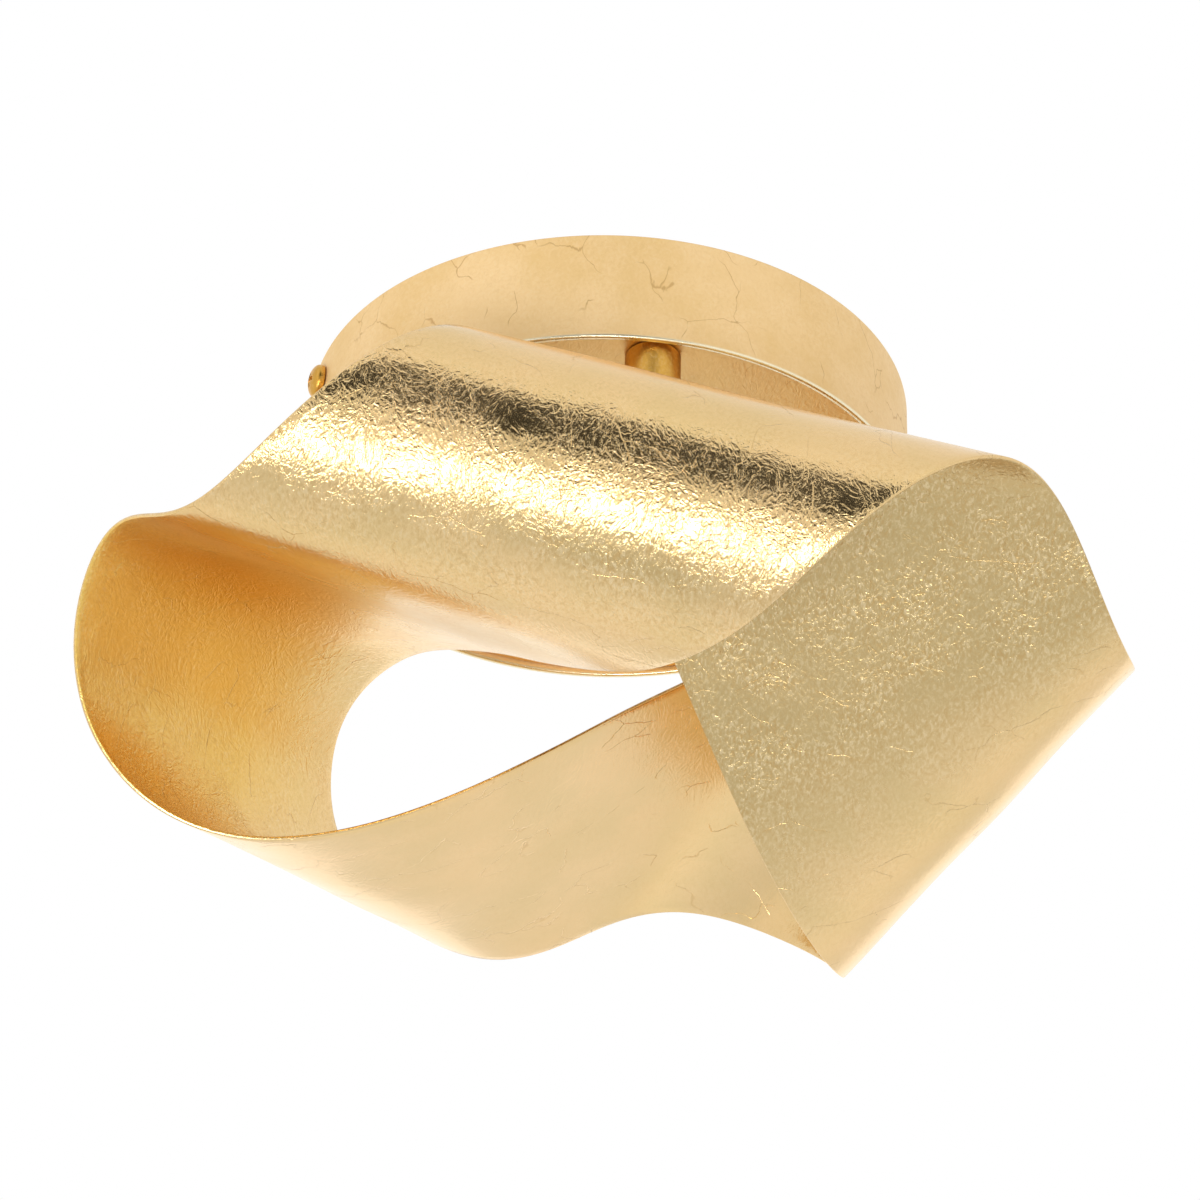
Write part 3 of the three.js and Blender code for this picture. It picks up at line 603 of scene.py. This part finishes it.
# A corner of an outline becomes a short curve: (1-t)^2 before + 2t(1-t) corner + t^2 after.
# A long side also gets a point close to the curve, at a share of its reach, to hold the shading
def softCorners(outline, radius, steps=4, mostOfSide=0.45, hold=0.6, longSide=3):
    outline = np.asarray(outline, float)
    t = np.linspace(0, 1, steps + 1)[:, None]
    parts = [outline[:1]]
    for before, corner, after in zip(outline[:-2], outline[1:-1], outline[2:]):
        back, ahead = before - corner, after - corner
        backLength, aheadLength = np.linalg.norm(back), np.linalg.norm(ahead)
        reach = min(radius, mostOfSide * backLength, mostOfSide * aheadLength)
        start, end = corner + back / backLength * reach, corner + ahead / aheadLength * reach
        if backLength > longSide * reach:
            parts.append((start + back / backLength * (reach * hold))[None])
        parts.append((1 - t) ** 2 * start + 2 * t * (1 - t) * corner + t ** 2 * end)
        if aheadLength > longSide * reach:
            parts.append((end + ahead / aheadLength * (reach * hold))[None])
    parts.append(outline[-1:])
    return np.concatenate(parts)


# A profile of (radius, height) turned about Z: (r cos a, r sin a, h)
def turnedPoints(profile, sides):
    angle = np.linspace(0, 2 * np.pi, sides, endpoint=False)
    r, h = profile[:, :1], profile[:, 1:]
    return np.stack([r * np.cos(angle), r * np.sin(angle), h + 0 * angle], -1)


def turnedPiece(name, profile, sides, body, slot, node, material=None, place=(0, 0, 0)):
    points = (turnedPoints(profile, sides) + np.array(place)) * mm
    return newPiece(name, points, gridQuads(len(profile), sides), body, slot, node, material)


def nodeBox(node):
    low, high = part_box(node)
    return np.array(low) / mm, np.array(high) / mm


# Ribbon

ribbon = {
    "circles": {2: 109, -1: 68, -4: -20, 5: -8, -7: 4, 8: -1.5},   # turns of each and its radius in mm
    "waves": {3: 22, 6: -26, 9: 3.5, 12: -2},   # count round the edge and height in mm
    "depth": 96,                # mm, as all lengths here
    "turn": -27.5,              # degrees
    "thickness": 1.2,
    "rimRound": 0.45,
    "rimSteps": 3,
    "stepsAlong": 720,          # for one round of the band; its two faces make two rounds
    "stepsAcross": 42,
    "dents": ((31, 0.06), (53, 0.12), (88, 0.2)),   # wavelength and height of dents made by hand
    "dentAims": ((0.8, 0.5, 0.3), (-0.4, 0.9, 0.2), (0.3, -0.5, 0.8)),
    "dentPhases": (0.7, 2.1, 4.0),
    # where the leaf is much folded; where it is duller, with painted shade; and where a warm reflection of
    # gold on
    #     # gold is painted: middle and reach in degrees, amount, and for some the middle and reach across the
    #     sheet
    "handled": ((168, 14, 1), (180, 9, 1), (321, 10, 1), (112, 20, 1), (16, 14, 1), (236, 12, 1),
                (262, 9, 0.6), (286, 20, 0.35)),
    "dullShaded": ((168, 14, 1), (180, 9, 1), (318.2, 1.6, 0.9, 0.3, 0.3), (302, 6, 0.6, 0.2, 0.25)),
    # painted reflection of gold on gold over the inner roll, fading across the sheet towards one edge
    "paintedBounce": ((281, 18, 2, 0.75, 0.5),),
    "least": {"handled": 0.14, "dullShaded": 0, "paintedBounce": 0},
}


# The edge, in mm: x + iy = sum of radius * e^(i turns a), z = sum of height * sin(waves a) - depth
def ribbonEdge(angle):
    flat = sum(radius * np.exp(1j * turns * angle) for turns, radius in ribbon["circles"].items())
    flat = flat * np.exp(1j * math.radians(ribbon["turn"]))
    height = sum(size * np.sin(count * angle) for count, size in ribbon["waves"].items())
    return np.stack([flat.real, flat.imag, height - ribbon["depth"]], -1)


# The sheet joins points of the edge half its length apart: (1-s) E(a) + s E(a+pi)
def ribbonPoint(angle, share):
    share = np.asarray(share)[..., None]
    return (1 - share) * ribbonEdge(angle) + share * ribbonEdge(angle + np.pi)


def ribbonNormal(angle, share, step=1e-4):
    along = ribbonPoint(angle + step, share) - ribbonPoint(angle - step, share)
    across = ribbonEdge(angle + np.pi) - ribbonEdge(angle)
    normal = np.cross(along, across)
    return normal / np.linalg.norm(normal, axis=-1, keepdims=True)


# Slow dents: sines of the place along three slanted directions
def ribbonDents(points):
    aims, phases = np.array(ribbon["dentAims"]), np.array(ribbon["dentPhases"])
    field = np.zeros_like(points)
    for count, (length, height) in enumerate(ribbon["dents"]):
        waves = np.sin(points @ aims.T * (2 * np.pi / length) + count * phases)
        field += height * np.roll(waves, count, -1)
    return field


# A soft patch of the sheet: most * e^-((angle - middle) / reach)^2, and the same across it
def leafPatch(angle, share, middle, reach, most, side=0.5, spread=math.inf):
    return most * np.exp(-((np.degrees(angle) - middle) / reach) ** 2 - ((share - side) / spread) ** 2)


# Rows run along the band twice, so that the second round is the back of the first. Each row goes from one
# edge over the rounded rim and across the face, and its end meets the start of the row half way round
def makeRibbon():
    steps = ribbon["stepsAlong"]
    angle = np.arange(2 * steps)[:, None] * np.pi / steps
    length = np.linalg.norm(ribbonEdge(angle + np.pi) - ribbonEdge(angle), axis=-1)
    bend = np.linspace(0, np.pi / 2, ribbon["rimSteps"] + 1)[:-1]          # from the edge to the face
    rim = ribbon["rimRound"] * (1 - np.cos(bend)) / length
    lift = np.sin(bend)
    edgeShare = ribbon["rimRound"] / length
    middle = edgeShare + (1 - 2 * edgeShare) * np.linspace(0, 1, ribbon["stepsAcross"] + 1)
    share = np.concatenate([rim, middle, 1 - rim[:, :0:-1]], 1)
    offset = np.concatenate([lift, np.ones(ribbon["stepsAcross"] + 1), lift[:0:-1]]) * ribbon["thickness"] / 2
    angle = angle + 0 * share
    points, normal = ribbonPoint(angle, share), ribbonNormal(angle, share)
    dents = (ribbonDents(points) * normal).sum(-1, keepdims=True)
    points = points + normal * (offset[:, None] + dents)
    rows, columns = share.shape

    def here(a, b):
        return np.where(b == columns, (a + steps) % rows * columns, a % rows * columns + b % columns)

    i, j = np.meshgrid(np.arange(rows), np.arange(columns), indexing="ij")
    quads = np.stack([here(i, j), here(i + 1, j), here(i + 1, j + 1), here(i, j + 1)], -1).reshape(-1, 4)
    piece = newPiece("gold_ribbon", points * mm, quads, "lamp", "gold_leaf", "ribbon", ribbonLeaf)
    for name, least in ribbon["least"].items():
        amount = sum(leafPatch(angle, share, *patch) for patch in ribbon[name])
        values = piece.data.attributes.new(name, "FLOAT", "POINT")
        values.data.foreach_set("value", (least + (1 - least) * np.clip(amount, 0, 1)).ravel())


makeRibbon()
print("ribbon made")


# Canopy: a drum wall with a plate set up inside its lower rim

canopy = {
    "sides": 192,
    "wall": 2.0,                # mm, as all lengths here
    "opening": 54.0,            # radius of the plate's opening
    "edgeRound": 0.85,
    "plateRound": 0.3,
}


# A closed ring: the outline (inner, low), (outer, low), (outer, high), (inner, high) turned about Z
def ringProfile(inner, outer, low, high, rounding):
    seam = (inner, (low + high) / 2)
    return softCorners([seam, (inner, low), (outer, low), (outer, high), (inner, high), seam], rounding)


def makeCanopy(sizes):
    low, high = nodeBox("canopy_wall")
    drum = ringProfile(high[0] - sizes["wall"], high[0], low[2], high[2], sizes["edgeRound"])
    turnedPiece("canopy_drum", drum, sizes["sides"], "lamp", "gold_leaf", "canopy_wall", canopyLeaf)
    low, high = nodeBox("canopy_plate")
    plate = ringProfile(sizes["opening"], high[0], low[2], high[2], sizes["plateRound"])
    turnedPiece("canopy_floor", plate, sizes["sides"], "lamp", "gold_leaf", "canopy_plate", plateLeaf)


makeCanopy(canopy)
print("canopy made")


# Posts, brazed to the sheet

post = {
    "radius": 8.0,              # mm, as all lengths here
    "topRound": 0.5,
    "filletHeight": 1.1,        # the run of braze round the foot
    "filletWidth": 0.9,
    "footGap": 0.1,
    "sides": 96,
    "roundSteps": 6,
    "endRing": 0.6,             # share of the radius where the flat ends have a ring
    "sideRows": (0.08, 0.5, 0.92),
    "searchGrid": (721, 61),    # points of the sheet along and across that the foot's search starts from
    "searchSteps": 12,
    "searchReach": 1e-5,        # for the slope, in radians
}


# Height of the sheet's upper face over places in plan: Newton steps on (angle, share) from the highest grid
# point near the post
def ribbonTop(x, y, centre):
    gridAlong, gridAcross = post["searchGrid"]
    angle, share = np.meshgrid(np.linspace(0, np.pi, gridAlong), np.linspace(0, 1, gridAcross), indexing="ij")
    grid = ribbonPoint(angle, share)
    near = np.hypot(grid[..., 0] - centre[0], grid[..., 1] - centre[1]) < post["radius"]
    start = np.flatnonzero(near)[grid[near][:, 2].argmax()]
    a, s = np.full(x.shape, angle.flat[start]), np.full(x.shape, share.flat[start])
    reach = post["searchReach"]
    for step in range(post["searchSteps"]):
        here = ribbonPoint(a, s)
        missX, missY = here[..., 0] - x, here[..., 1] - y
        along = (ribbonPoint(a + reach, s) - here) / reach
        across = ribbonEdge(a + np.pi) - ribbonEdge(a)
        area = along[..., 0] * across[..., 1] - along[..., 1] * across[..., 0]
        a = a - (missX * across[..., 1] - missY * across[..., 0]) / area
        s = s - (missY * along[..., 0] - missX * along[..., 1]) / area
    point, normal = ribbonPoint(a, s), ribbonNormal(a, s)
    normal = normal * np.sign(normal[..., 2:])
    lift = ribbon["thickness"] / 2 + (ribbonDents(point) * normal).sum(-1)
    return point[..., 2] + lift / normal[..., 2]


def makePost(number):
    node = f"post_{number}"
    low, high = nodeBox(node)
    centre = (low + high)[:2] / 2
    radius, rounding, ring = post["radius"], post["topRound"], post["radius"] * post["endRing"]
    quarter = np.linspace(0, np.pi / 2, post["roundSteps"])
    # rows as (radius, share of the way down to the sheet, rise)
    top = [(0, 0, 0), (ring, 0, 0)]
    top += [(radius - rounding * (1 - math.sin(q)), 0, rounding * (math.cos(q) - 1)) for q in quarter]
    side = [(radius, t, -rounding * (1 - t) + post["filletHeight"] * t) for t in post["sideRows"]]
    fillet = [(radius + post["filletWidth"] * (1 - math.cos(q)), 1, post["filletHeight"] * (1 - math.sin(q)))
              for q in quarter]
    rows = np.array(top + side + fillet + [(ring, 1, 0), (0, 1, 0)])
    angle = np.linspace(0, 2 * np.pi, post["sides"], endpoint=False)
    x = centre[0] + rows[:, :1] * np.cos(angle)
    y = centre[1] + rows[:, :1] * np.sin(angle)
    foot = ribbonTop(x, y, centre) + post["footGap"]
    z = high[2] + rows[:, 1:2] * (foot - high[2]) + rows[:, 2:]
    points = np.stack([x, y, z], -1) * mm
    faces = gridQuads(len(rows), post["sides"])[:, ::-1]
    newPiece(f"ribbon_post_{number}", points, faces, "lamp", "gold_leaf", node, fittingLeaf)


for number in (1, 2, 3):
    makePost(number)
print("posts made")


# Screws: a domed head with a driven recess, and a plain shank.
# Head height = edge + (height - edge) * sqrt(1 - s^2) - recess, with s the share of the head's radius.
# Lengths are in mm; edge is a share of the height, and recessSize is half length, half width and depth

screws = {
    "side": {"head": 5.0, "height": 3.7, "edge": 0.3, "shank": 2.0, "recess": "cross",
             "recessSize": (2.3, 0.55, 1.4), "sides": 144},
    "post": {"head": 3.6, "height": 2.4, "edge": 0.3, "shank": 2.0, "recess": "hex",
             "recessSize": (1.5, 1.5, 1.3), "sides": 96},
    "carrier": {"head": 2.6, "height": 2.0, "edge": 0.3, "shank": 1.4, "recess": "cross",
                "recessSize": (1.3, 0.32, 0.9), "sides": 96},
    "driver": {"head": 2.6, "height": 1.8, "edge": 0.3, "shank": 1.4, "recess": "cross",
               "recessSize": (1.3, 0.32, 0.9), "sides": 96},
    "earth": {"head": 3.8, "height": 2.6, "edge": 0.3, "shank": 2.0, "recess": "cross",
              "recessSize": (1.9, 0.45, 1.2), "sides": 112},
    "terminal": {"head": 2.0, "height": 3.0, "edge": 0.86, "shank": 0.0, "recess": "slot",
                 "recessSize": (2.4, 0.35, 0.9), "sides": 96},
}
screwForm = {"crownRows": 44, "cornerRound": 0.25, "recessSoft": 0.14}     # the last two in mm


def softStep(value, width):
    t = np.clip(value / width + 0.5, 0, 1)
    return t * t * (3 - 2 * t)


def recessDepth(x, y, kind, size):
    long, wide, depth = size
    soft = screwForm["recessSoft"]

    def bar(p, q):
        return softStep(long - np.abs(p), soft) * softStep(wide - np.abs(q), soft)

    if kind == "hex":
        turns = np.radians([0, 60, 120])
        reach = np.max([np.abs(x * np.cos(t) + y * np.sin(t)) for t in turns], 0)
        return depth * softStep(long - reach, soft)
    if kind == "slot":
        return depth * bar(x, y)
    return depth * np.maximum(bar(x, y), bar(y, x))


# Points made along +Z, turned to a direction and moved to a place
def aimedPoints(points, place, direction):
    turn = np.array(Vector((0, 0, 1)).rotation_difference(Vector(direction)).to_matrix())
    return points @ turn.T + np.array(place)


def makeScrew(name, node, kind, seat, direction, reach, body, slot, material=None):
    sizes, crownRows = screws[kind], screwForm["crownRows"]
    head, height, shank = sizes["head"], sizes["height"], sizes["shank"]
    edge = height * sizes["edge"]
    lean = np.linspace(0, np.pi / 2, crownRows)
    crown = np.stack([head * np.sin(lean), edge + (height - edge) * np.cos(lean)], -1)
    under = [(head, edge), (head, 0), (shank, 0)]
    if shank:
        under += [(shank, -reach), (0, -reach)]
    profile = np.concatenate([crown, softCorners(under, screwForm["cornerRound"])[1:]])
    points = turnedPoints(profile, sizes["sides"])
    x, y = points[:crownRows, :, 0], points[:crownRows, :, 1]
    points[:crownRows, :, 2] -= recessDepth(x, y, sizes["recess"], sizes["recessSize"])
    placed = aimedPoints(points * mm, np.array(seat) * mm, direction)
    faces = gridQuads(len(profile), sizes["sides"])[:, ::-1]
    newPiece(name, placed, faces, body, slot, node, material)


# A screw that stands head up along Z takes its seat and length from its node
def uprightScrew(name, node, kind, slot):
    low, high = nodeBox(node)
    centre = (low + high) / 2
    seat = (centre[0], centre[1], high[2] - screws[kind]["height"])
    makeScrew(name, node, kind, seat, (0, 0, 1), seat[2] - low[2], "lamp", slot)


rimScrews = {
    "turn": 18.0,               # degrees from the X axis
    "radius": 90.3,             # mm from the axis to the seat under the head
    "drop": 10.0,               # mm under the mounting face
    "reach": 10.5,
}
earthWasher = {"hole": 2.35, "edgeRound": 0.15, "sides": 96}


def makeScrews():
    turn = math.radians(rimScrews["turn"])
    for side, sign in (("left", -1), ("right", 1)):
        out = sign * np.array([math.cos(turn), math.sin(turn), 0])
        seat = out * rimScrews["radius"] - (0, 0, rimScrews["drop"])
        makeScrew(f"rim_screw_{side}", f"side_screw_{side}", "side", seat, out, rimScrews["reach"],
                  f"side_screw_{side}", "gold_leaf", fittingLeaf)
    for number in (1, 2, 3):
        uprightScrew(f"post_screw_{number}", f"post_bolt_{number}", "post", "zinc_steel")
        uprightScrew(f"dish_screw_{number}", f"carrier_screw_{number}", "carrier", "zinc_steel")
        uprightScrew(f"clamp_screw_{number}", f"terminal_screw_{number}", "terminal", "brass_screw")
    for number in (1, 2):
        uprightScrew(f"box_screw_{number}", f"driver_screw_{number}", "driver", "zinc_steel")
    low, high = nodeBox("earth_screw")
    centre = (low + high) / 2
    seat = (centre[0], centre[1], low[2] + screws["earth"]["height"])
    makeScrew("ground_screw", "earth_screw", "earth", seat, (0, 0, -1), high[2] - seat[2],
              "bracket", "brass_screw")
    low, high = nodeBox("earth_washer")
    centre = (low + high) / 2
    washer = ringProfile(earthWasher["hole"], high[0] - centre[0], low[2], high[2], earthWasher["edgeRound"])
    turnedPiece("ground_washer", washer, earthWasher["sides"], "bracket", "brass_screw", "earth_washer",
                place=(centre[0], centre[1], 0))


makeScrews()
print("screws made")


# Diffuser: an opal cup with a low dome. Dome height = floor + dome * share^2, with share that of the radius

diffuser = {
    "opening": 53.65,           # outer radius of the cup, in mm as all lengths here
    "wall": 1.5,
    "flange": 1.5,
    "dome": 2.0,
    "domeReach": 0.97,          # share of the radius where the dome goes over into the rounded edge
    "domeRows": 26,
    "edgeRound": 1.6,
    "edgeSteps": 6,
    "sides": 192,
}


def makeDiffuser(sizes):
    low, high = nodeBox("diffuser")
    outer, wall = sizes["opening"], sizes["wall"]
    inner, rim, top = outer - wall, high[0], high[2]
    edge, flangeLow = low[2] + sizes["dome"], top - sizes["flange"]
    share = np.linspace(0, sizes["domeReach"], sizes["domeRows"])
    dome = low[2] + sizes["dome"] * share ** 2
    outside = np.stack([outer * share, dome], -1)
    inside = np.stack([inner * share, dome + wall], -1)[::-1]
    side = [outside[-1], (outer, edge), (outer, flangeLow), (rim, flangeLow), (rim, top), (inner, top),
            (inner, edge + wall), inside[0]]
    side = softCorners(side, sizes["edgeRound"], sizes["edgeSteps"])
    profile = np.concatenate([outside[:-1], side, inside[1:]])
    turnedPiece("opal_cup", profile, sizes["sides"], "lamp", "opal_acrylic", "diffuser")


makeDiffuser(diffuser)
print("diffuser made")


# Bracket, carrier, driver and terminal block keep their solid's form, with broken edges

brokenEdges = {   # name of the piece, width of its bevel in mm, body and slot
    "bracket": ("fixing_strap", 0.25, "bracket", "zinc_steel"),
    "side_nut_left": ("square_nut_left", 0.3, "lamp", "zinc_steel"),
    "side_nut_right": ("square_nut_right", 0.3, "lamp", "zinc_steel"),
    "led_carrier": ("carrier_dish", 0.3, "lamp", "bare_aluminium"),
    "driver_case": ("driver_tub", 0.5, "lamp", "white_plastic"),
    "terminal_block": ("terminal_body", 0.4, "lamp", "white_plastic"),
    "driver_board": ("driver_circuit", 0.1, "lamp", "green_board"),
}
edgeBreak = {
    "merge": 1e-6,              # m
    "flat": 1,                  # degrees; flatter edges go
    "sharp": 32,
    "bevelFrom": 40,
    "segments": 3,
}


# A merged copy of the node, with a narrow bevel on its sharp edges
def brokenCopy(node, name, width, body, slot):
    mesh = nodes[node].data.copy()
    mesh.name = name
    build = bmesh.new()
    build.from_mesh(mesh)
    bmesh.ops.remove_doubles(build, verts=build.verts, dist=edgeBreak["merge"])
    bmesh.ops.dissolve_limit(build, angle_limit=math.radians(edgeBreak["flat"]), verts=build.verts,
                             edges=build.edges)
    build.to_mesh(mesh)
    build.free()
    piece = addPiece(name, mesh, edgeBreak["sharp"], body, slot, node)
    bevel = piece.modifiers.new("brokenEdge", "BEVEL")
    bevel.width = width * mm
    bevel.segments = edgeBreak["segments"]
    bevel.limit_method = "ANGLE"
    bevel.angle_limit = math.radians(edgeBreak["bevelFrom"])


for node, (name, width, body, slot) in brokenEdges.items():
    brokenCopy(node, name, width, body, slot)
print("bracket, carrier, driver and terminal block made")


# Driver lid: a rounded outline, drawn in by each row of the edge's profile

driverLid = {"corner": 1.2, "edge": 0.5, "cornerSteps": 8, "edgeSteps": 5}     # the first two in mm


def makeDriverLid(sizes):
    low, high = nodeBox("driver_lid")
    middle, half = (low + high) / 2, (high - low) / 2
    quarter = np.linspace(0, np.pi / 2, sizes["cornerSteps"] + 1)
    angle = np.concatenate([quarter + turn * np.pi / 2 for turn in range(4)])
    signX, signY = np.repeat([1, -1, -1, 1], len(quarter)), np.repeat([1, 1, -1, -1], len(quarter))
    bend = np.linspace(0, np.pi / 2, sizes["edgeSteps"] + 1)
    inset = sizes["edge"] * (1 - np.sin(bend))
    drop = sizes["edge"] * (1 - np.cos(bend))
    inset = np.concatenate([inset, inset[::-1]])[:, None]
    height = np.concatenate([low[2] + drop, high[2] - drop[::-1]])[:, None]
    reach = sizes["corner"] - inset
    x = middle[0] + signX * (half[0] - sizes["corner"]) + reach * np.cos(angle)
    y = middle[1] + signY * (half[1] - sizes["corner"]) + reach * np.sin(angle)
    shell = np.stack([x, y, height + 0 * x], -1)
    capLow, capHigh = (np.zeros_like(shell[:1]) + (middle[0], middle[1], z) for z in (low[2], high[2]))
    points = np.concatenate([capLow, shell, capHigh])
    faces = gridQuads(len(points), len(angle))
    newPiece("driver_cover", points * mm, faces, "lamp", "white_plastic", "driver_lid")


makeDriverLid(driverLid)
print("driver lid made")


# Leads: a round section carried along a smooth route through a few points

leads = {
    "radius": 1.0,              # mm, as all lengths here
    "sides": 16,
    "steps": 24,                # between two points of a route
    "slant": (0.4, -0.3, 0.85),     # a direction that no route takes, to turn the section from
    "supplyY": (-22.7, -13.85, 3.85, 12.7),
    "supplyHeight": -22.6,
    "terminalPitch": 10.0,
    "spacing": 3.2,
    "caseSide": (42.3, 23.0),   # where the light leads leave the driver, in plan
    "bend": (52.0, 13.0),
    "hole": 40.0,               # their hole in the carrier
    "lightHeight": -19.6,
    "lightDrop": (-23.9, -28.9, -30.9),
}


# A centripetal Catmull-Rom curve: each stretch takes as long as the square root of its length
def smoothRoute(points, steps):
    points = np.array(points, float)
    points = np.concatenate([2 * points[:1] - points[1:2], points, 2 * points[-1:] - points[-2:-1]])
    knots = np.concatenate([[0], np.cumsum(np.linalg.norm(np.diff(points, axis=0), axis=1) ** 0.5)])
    parts = []
    for i in range(1, len(points) - 2):
        t = np.linspace(knots[i], knots[i + 1], steps, endpoint=False)[:, None]
        level = [points[i - 1 + k] + 0 * t for k in range(4)]
        for rise in (1, 2, 3):
            spans = [(knots[i - 1 + k], knots[i - 1 + k + rise]) for k in range(4 - rise)]
            if rise == 3:
                spans = [(knots[i], knots[i + 1])]
            level = [((b - t) * level[k] + (t - a) * level[k + 1]) / (b - a)
                     for k, (a, b) in enumerate(spans)]
        parts.append(level[0])
    return np.concatenate(parts + [points[-2:-1]])


# Tube: centre + radius * (cos a * side + sin a * lift), closed by a point at each end
def makeLead(node, name, slot, route):
    centre = smoothRoute(route, leads["steps"])
    along = np.gradient(centre, axis=0)
    along /= np.linalg.norm(along, axis=1, keepdims=True)
    side = np.cross(along, leads["slant"])
    side /= np.linalg.norm(side, axis=1, keepdims=True)
    lift = np.cross(along, side)
    angle = np.linspace(0, 2 * np.pi, leads["sides"], endpoint=False)[:, None]
    ring = leads["radius"] * (np.cos(angle) * side[:, None] + np.sin(angle) * lift[:, None])
    tube = centre[:, None] + ring
    start, end = (np.zeros_like(tube[:1]) + centre[i] for i in (0, -1))
    points = np.concatenate([start, tube, end])
    newPiece(name, points * mm, gridQuads(len(points), leads["sides"]), "lamp", slot, node)


def makeLeads():
    z = leads["supplyHeight"]
    for node, name, slot, sign in (("supply_lead_live", "live_wire", "brown_lead", -1),
                                   ("supply_lead_neutral", "neutral_wire", "blue_lead", 1)):
        xs = [sign * leads["terminalPitch"]] * 2 + [sign * leads["spacing"]] * 2
        makeLead(node, name, slot, [(x, y, z) for x, y in zip(xs, leads["supplyY"])])
    z = leads["lightHeight"]
    caseX, caseY = leads["caseSide"]
    bendX, bendY = leads["bend"]
    turnX = (caseX + bendX) / 2
    for node, name, slot, sign in (("light_lead_plus", "plus_wire", "red_lead", 0.5),
                                   ("light_lead_minus", "minus_wire", "black_lead", -0.5)):
        shift = sign * leads["spacing"]
        route = [(caseX, caseY + shift, z), (turnX + shift, caseY + shift, z), (bendX + shift, bendY, z)]
        route += [(leads["hole"] + shift, 0, height) for height in leads["lightDrop"]]
        makeLead(node, name, slot, route)


makeLeads()
print("leads made")


# Nodes that stay as they are take the finish of their slot

for part in frame["record"]["subparts"]:
    mesh = nodes[part["node"]].data
    mesh.materials.clear()
    mesh.materials.append(slotFinish[part["material_slot"]])
print("finishes given to the nodes that stay")
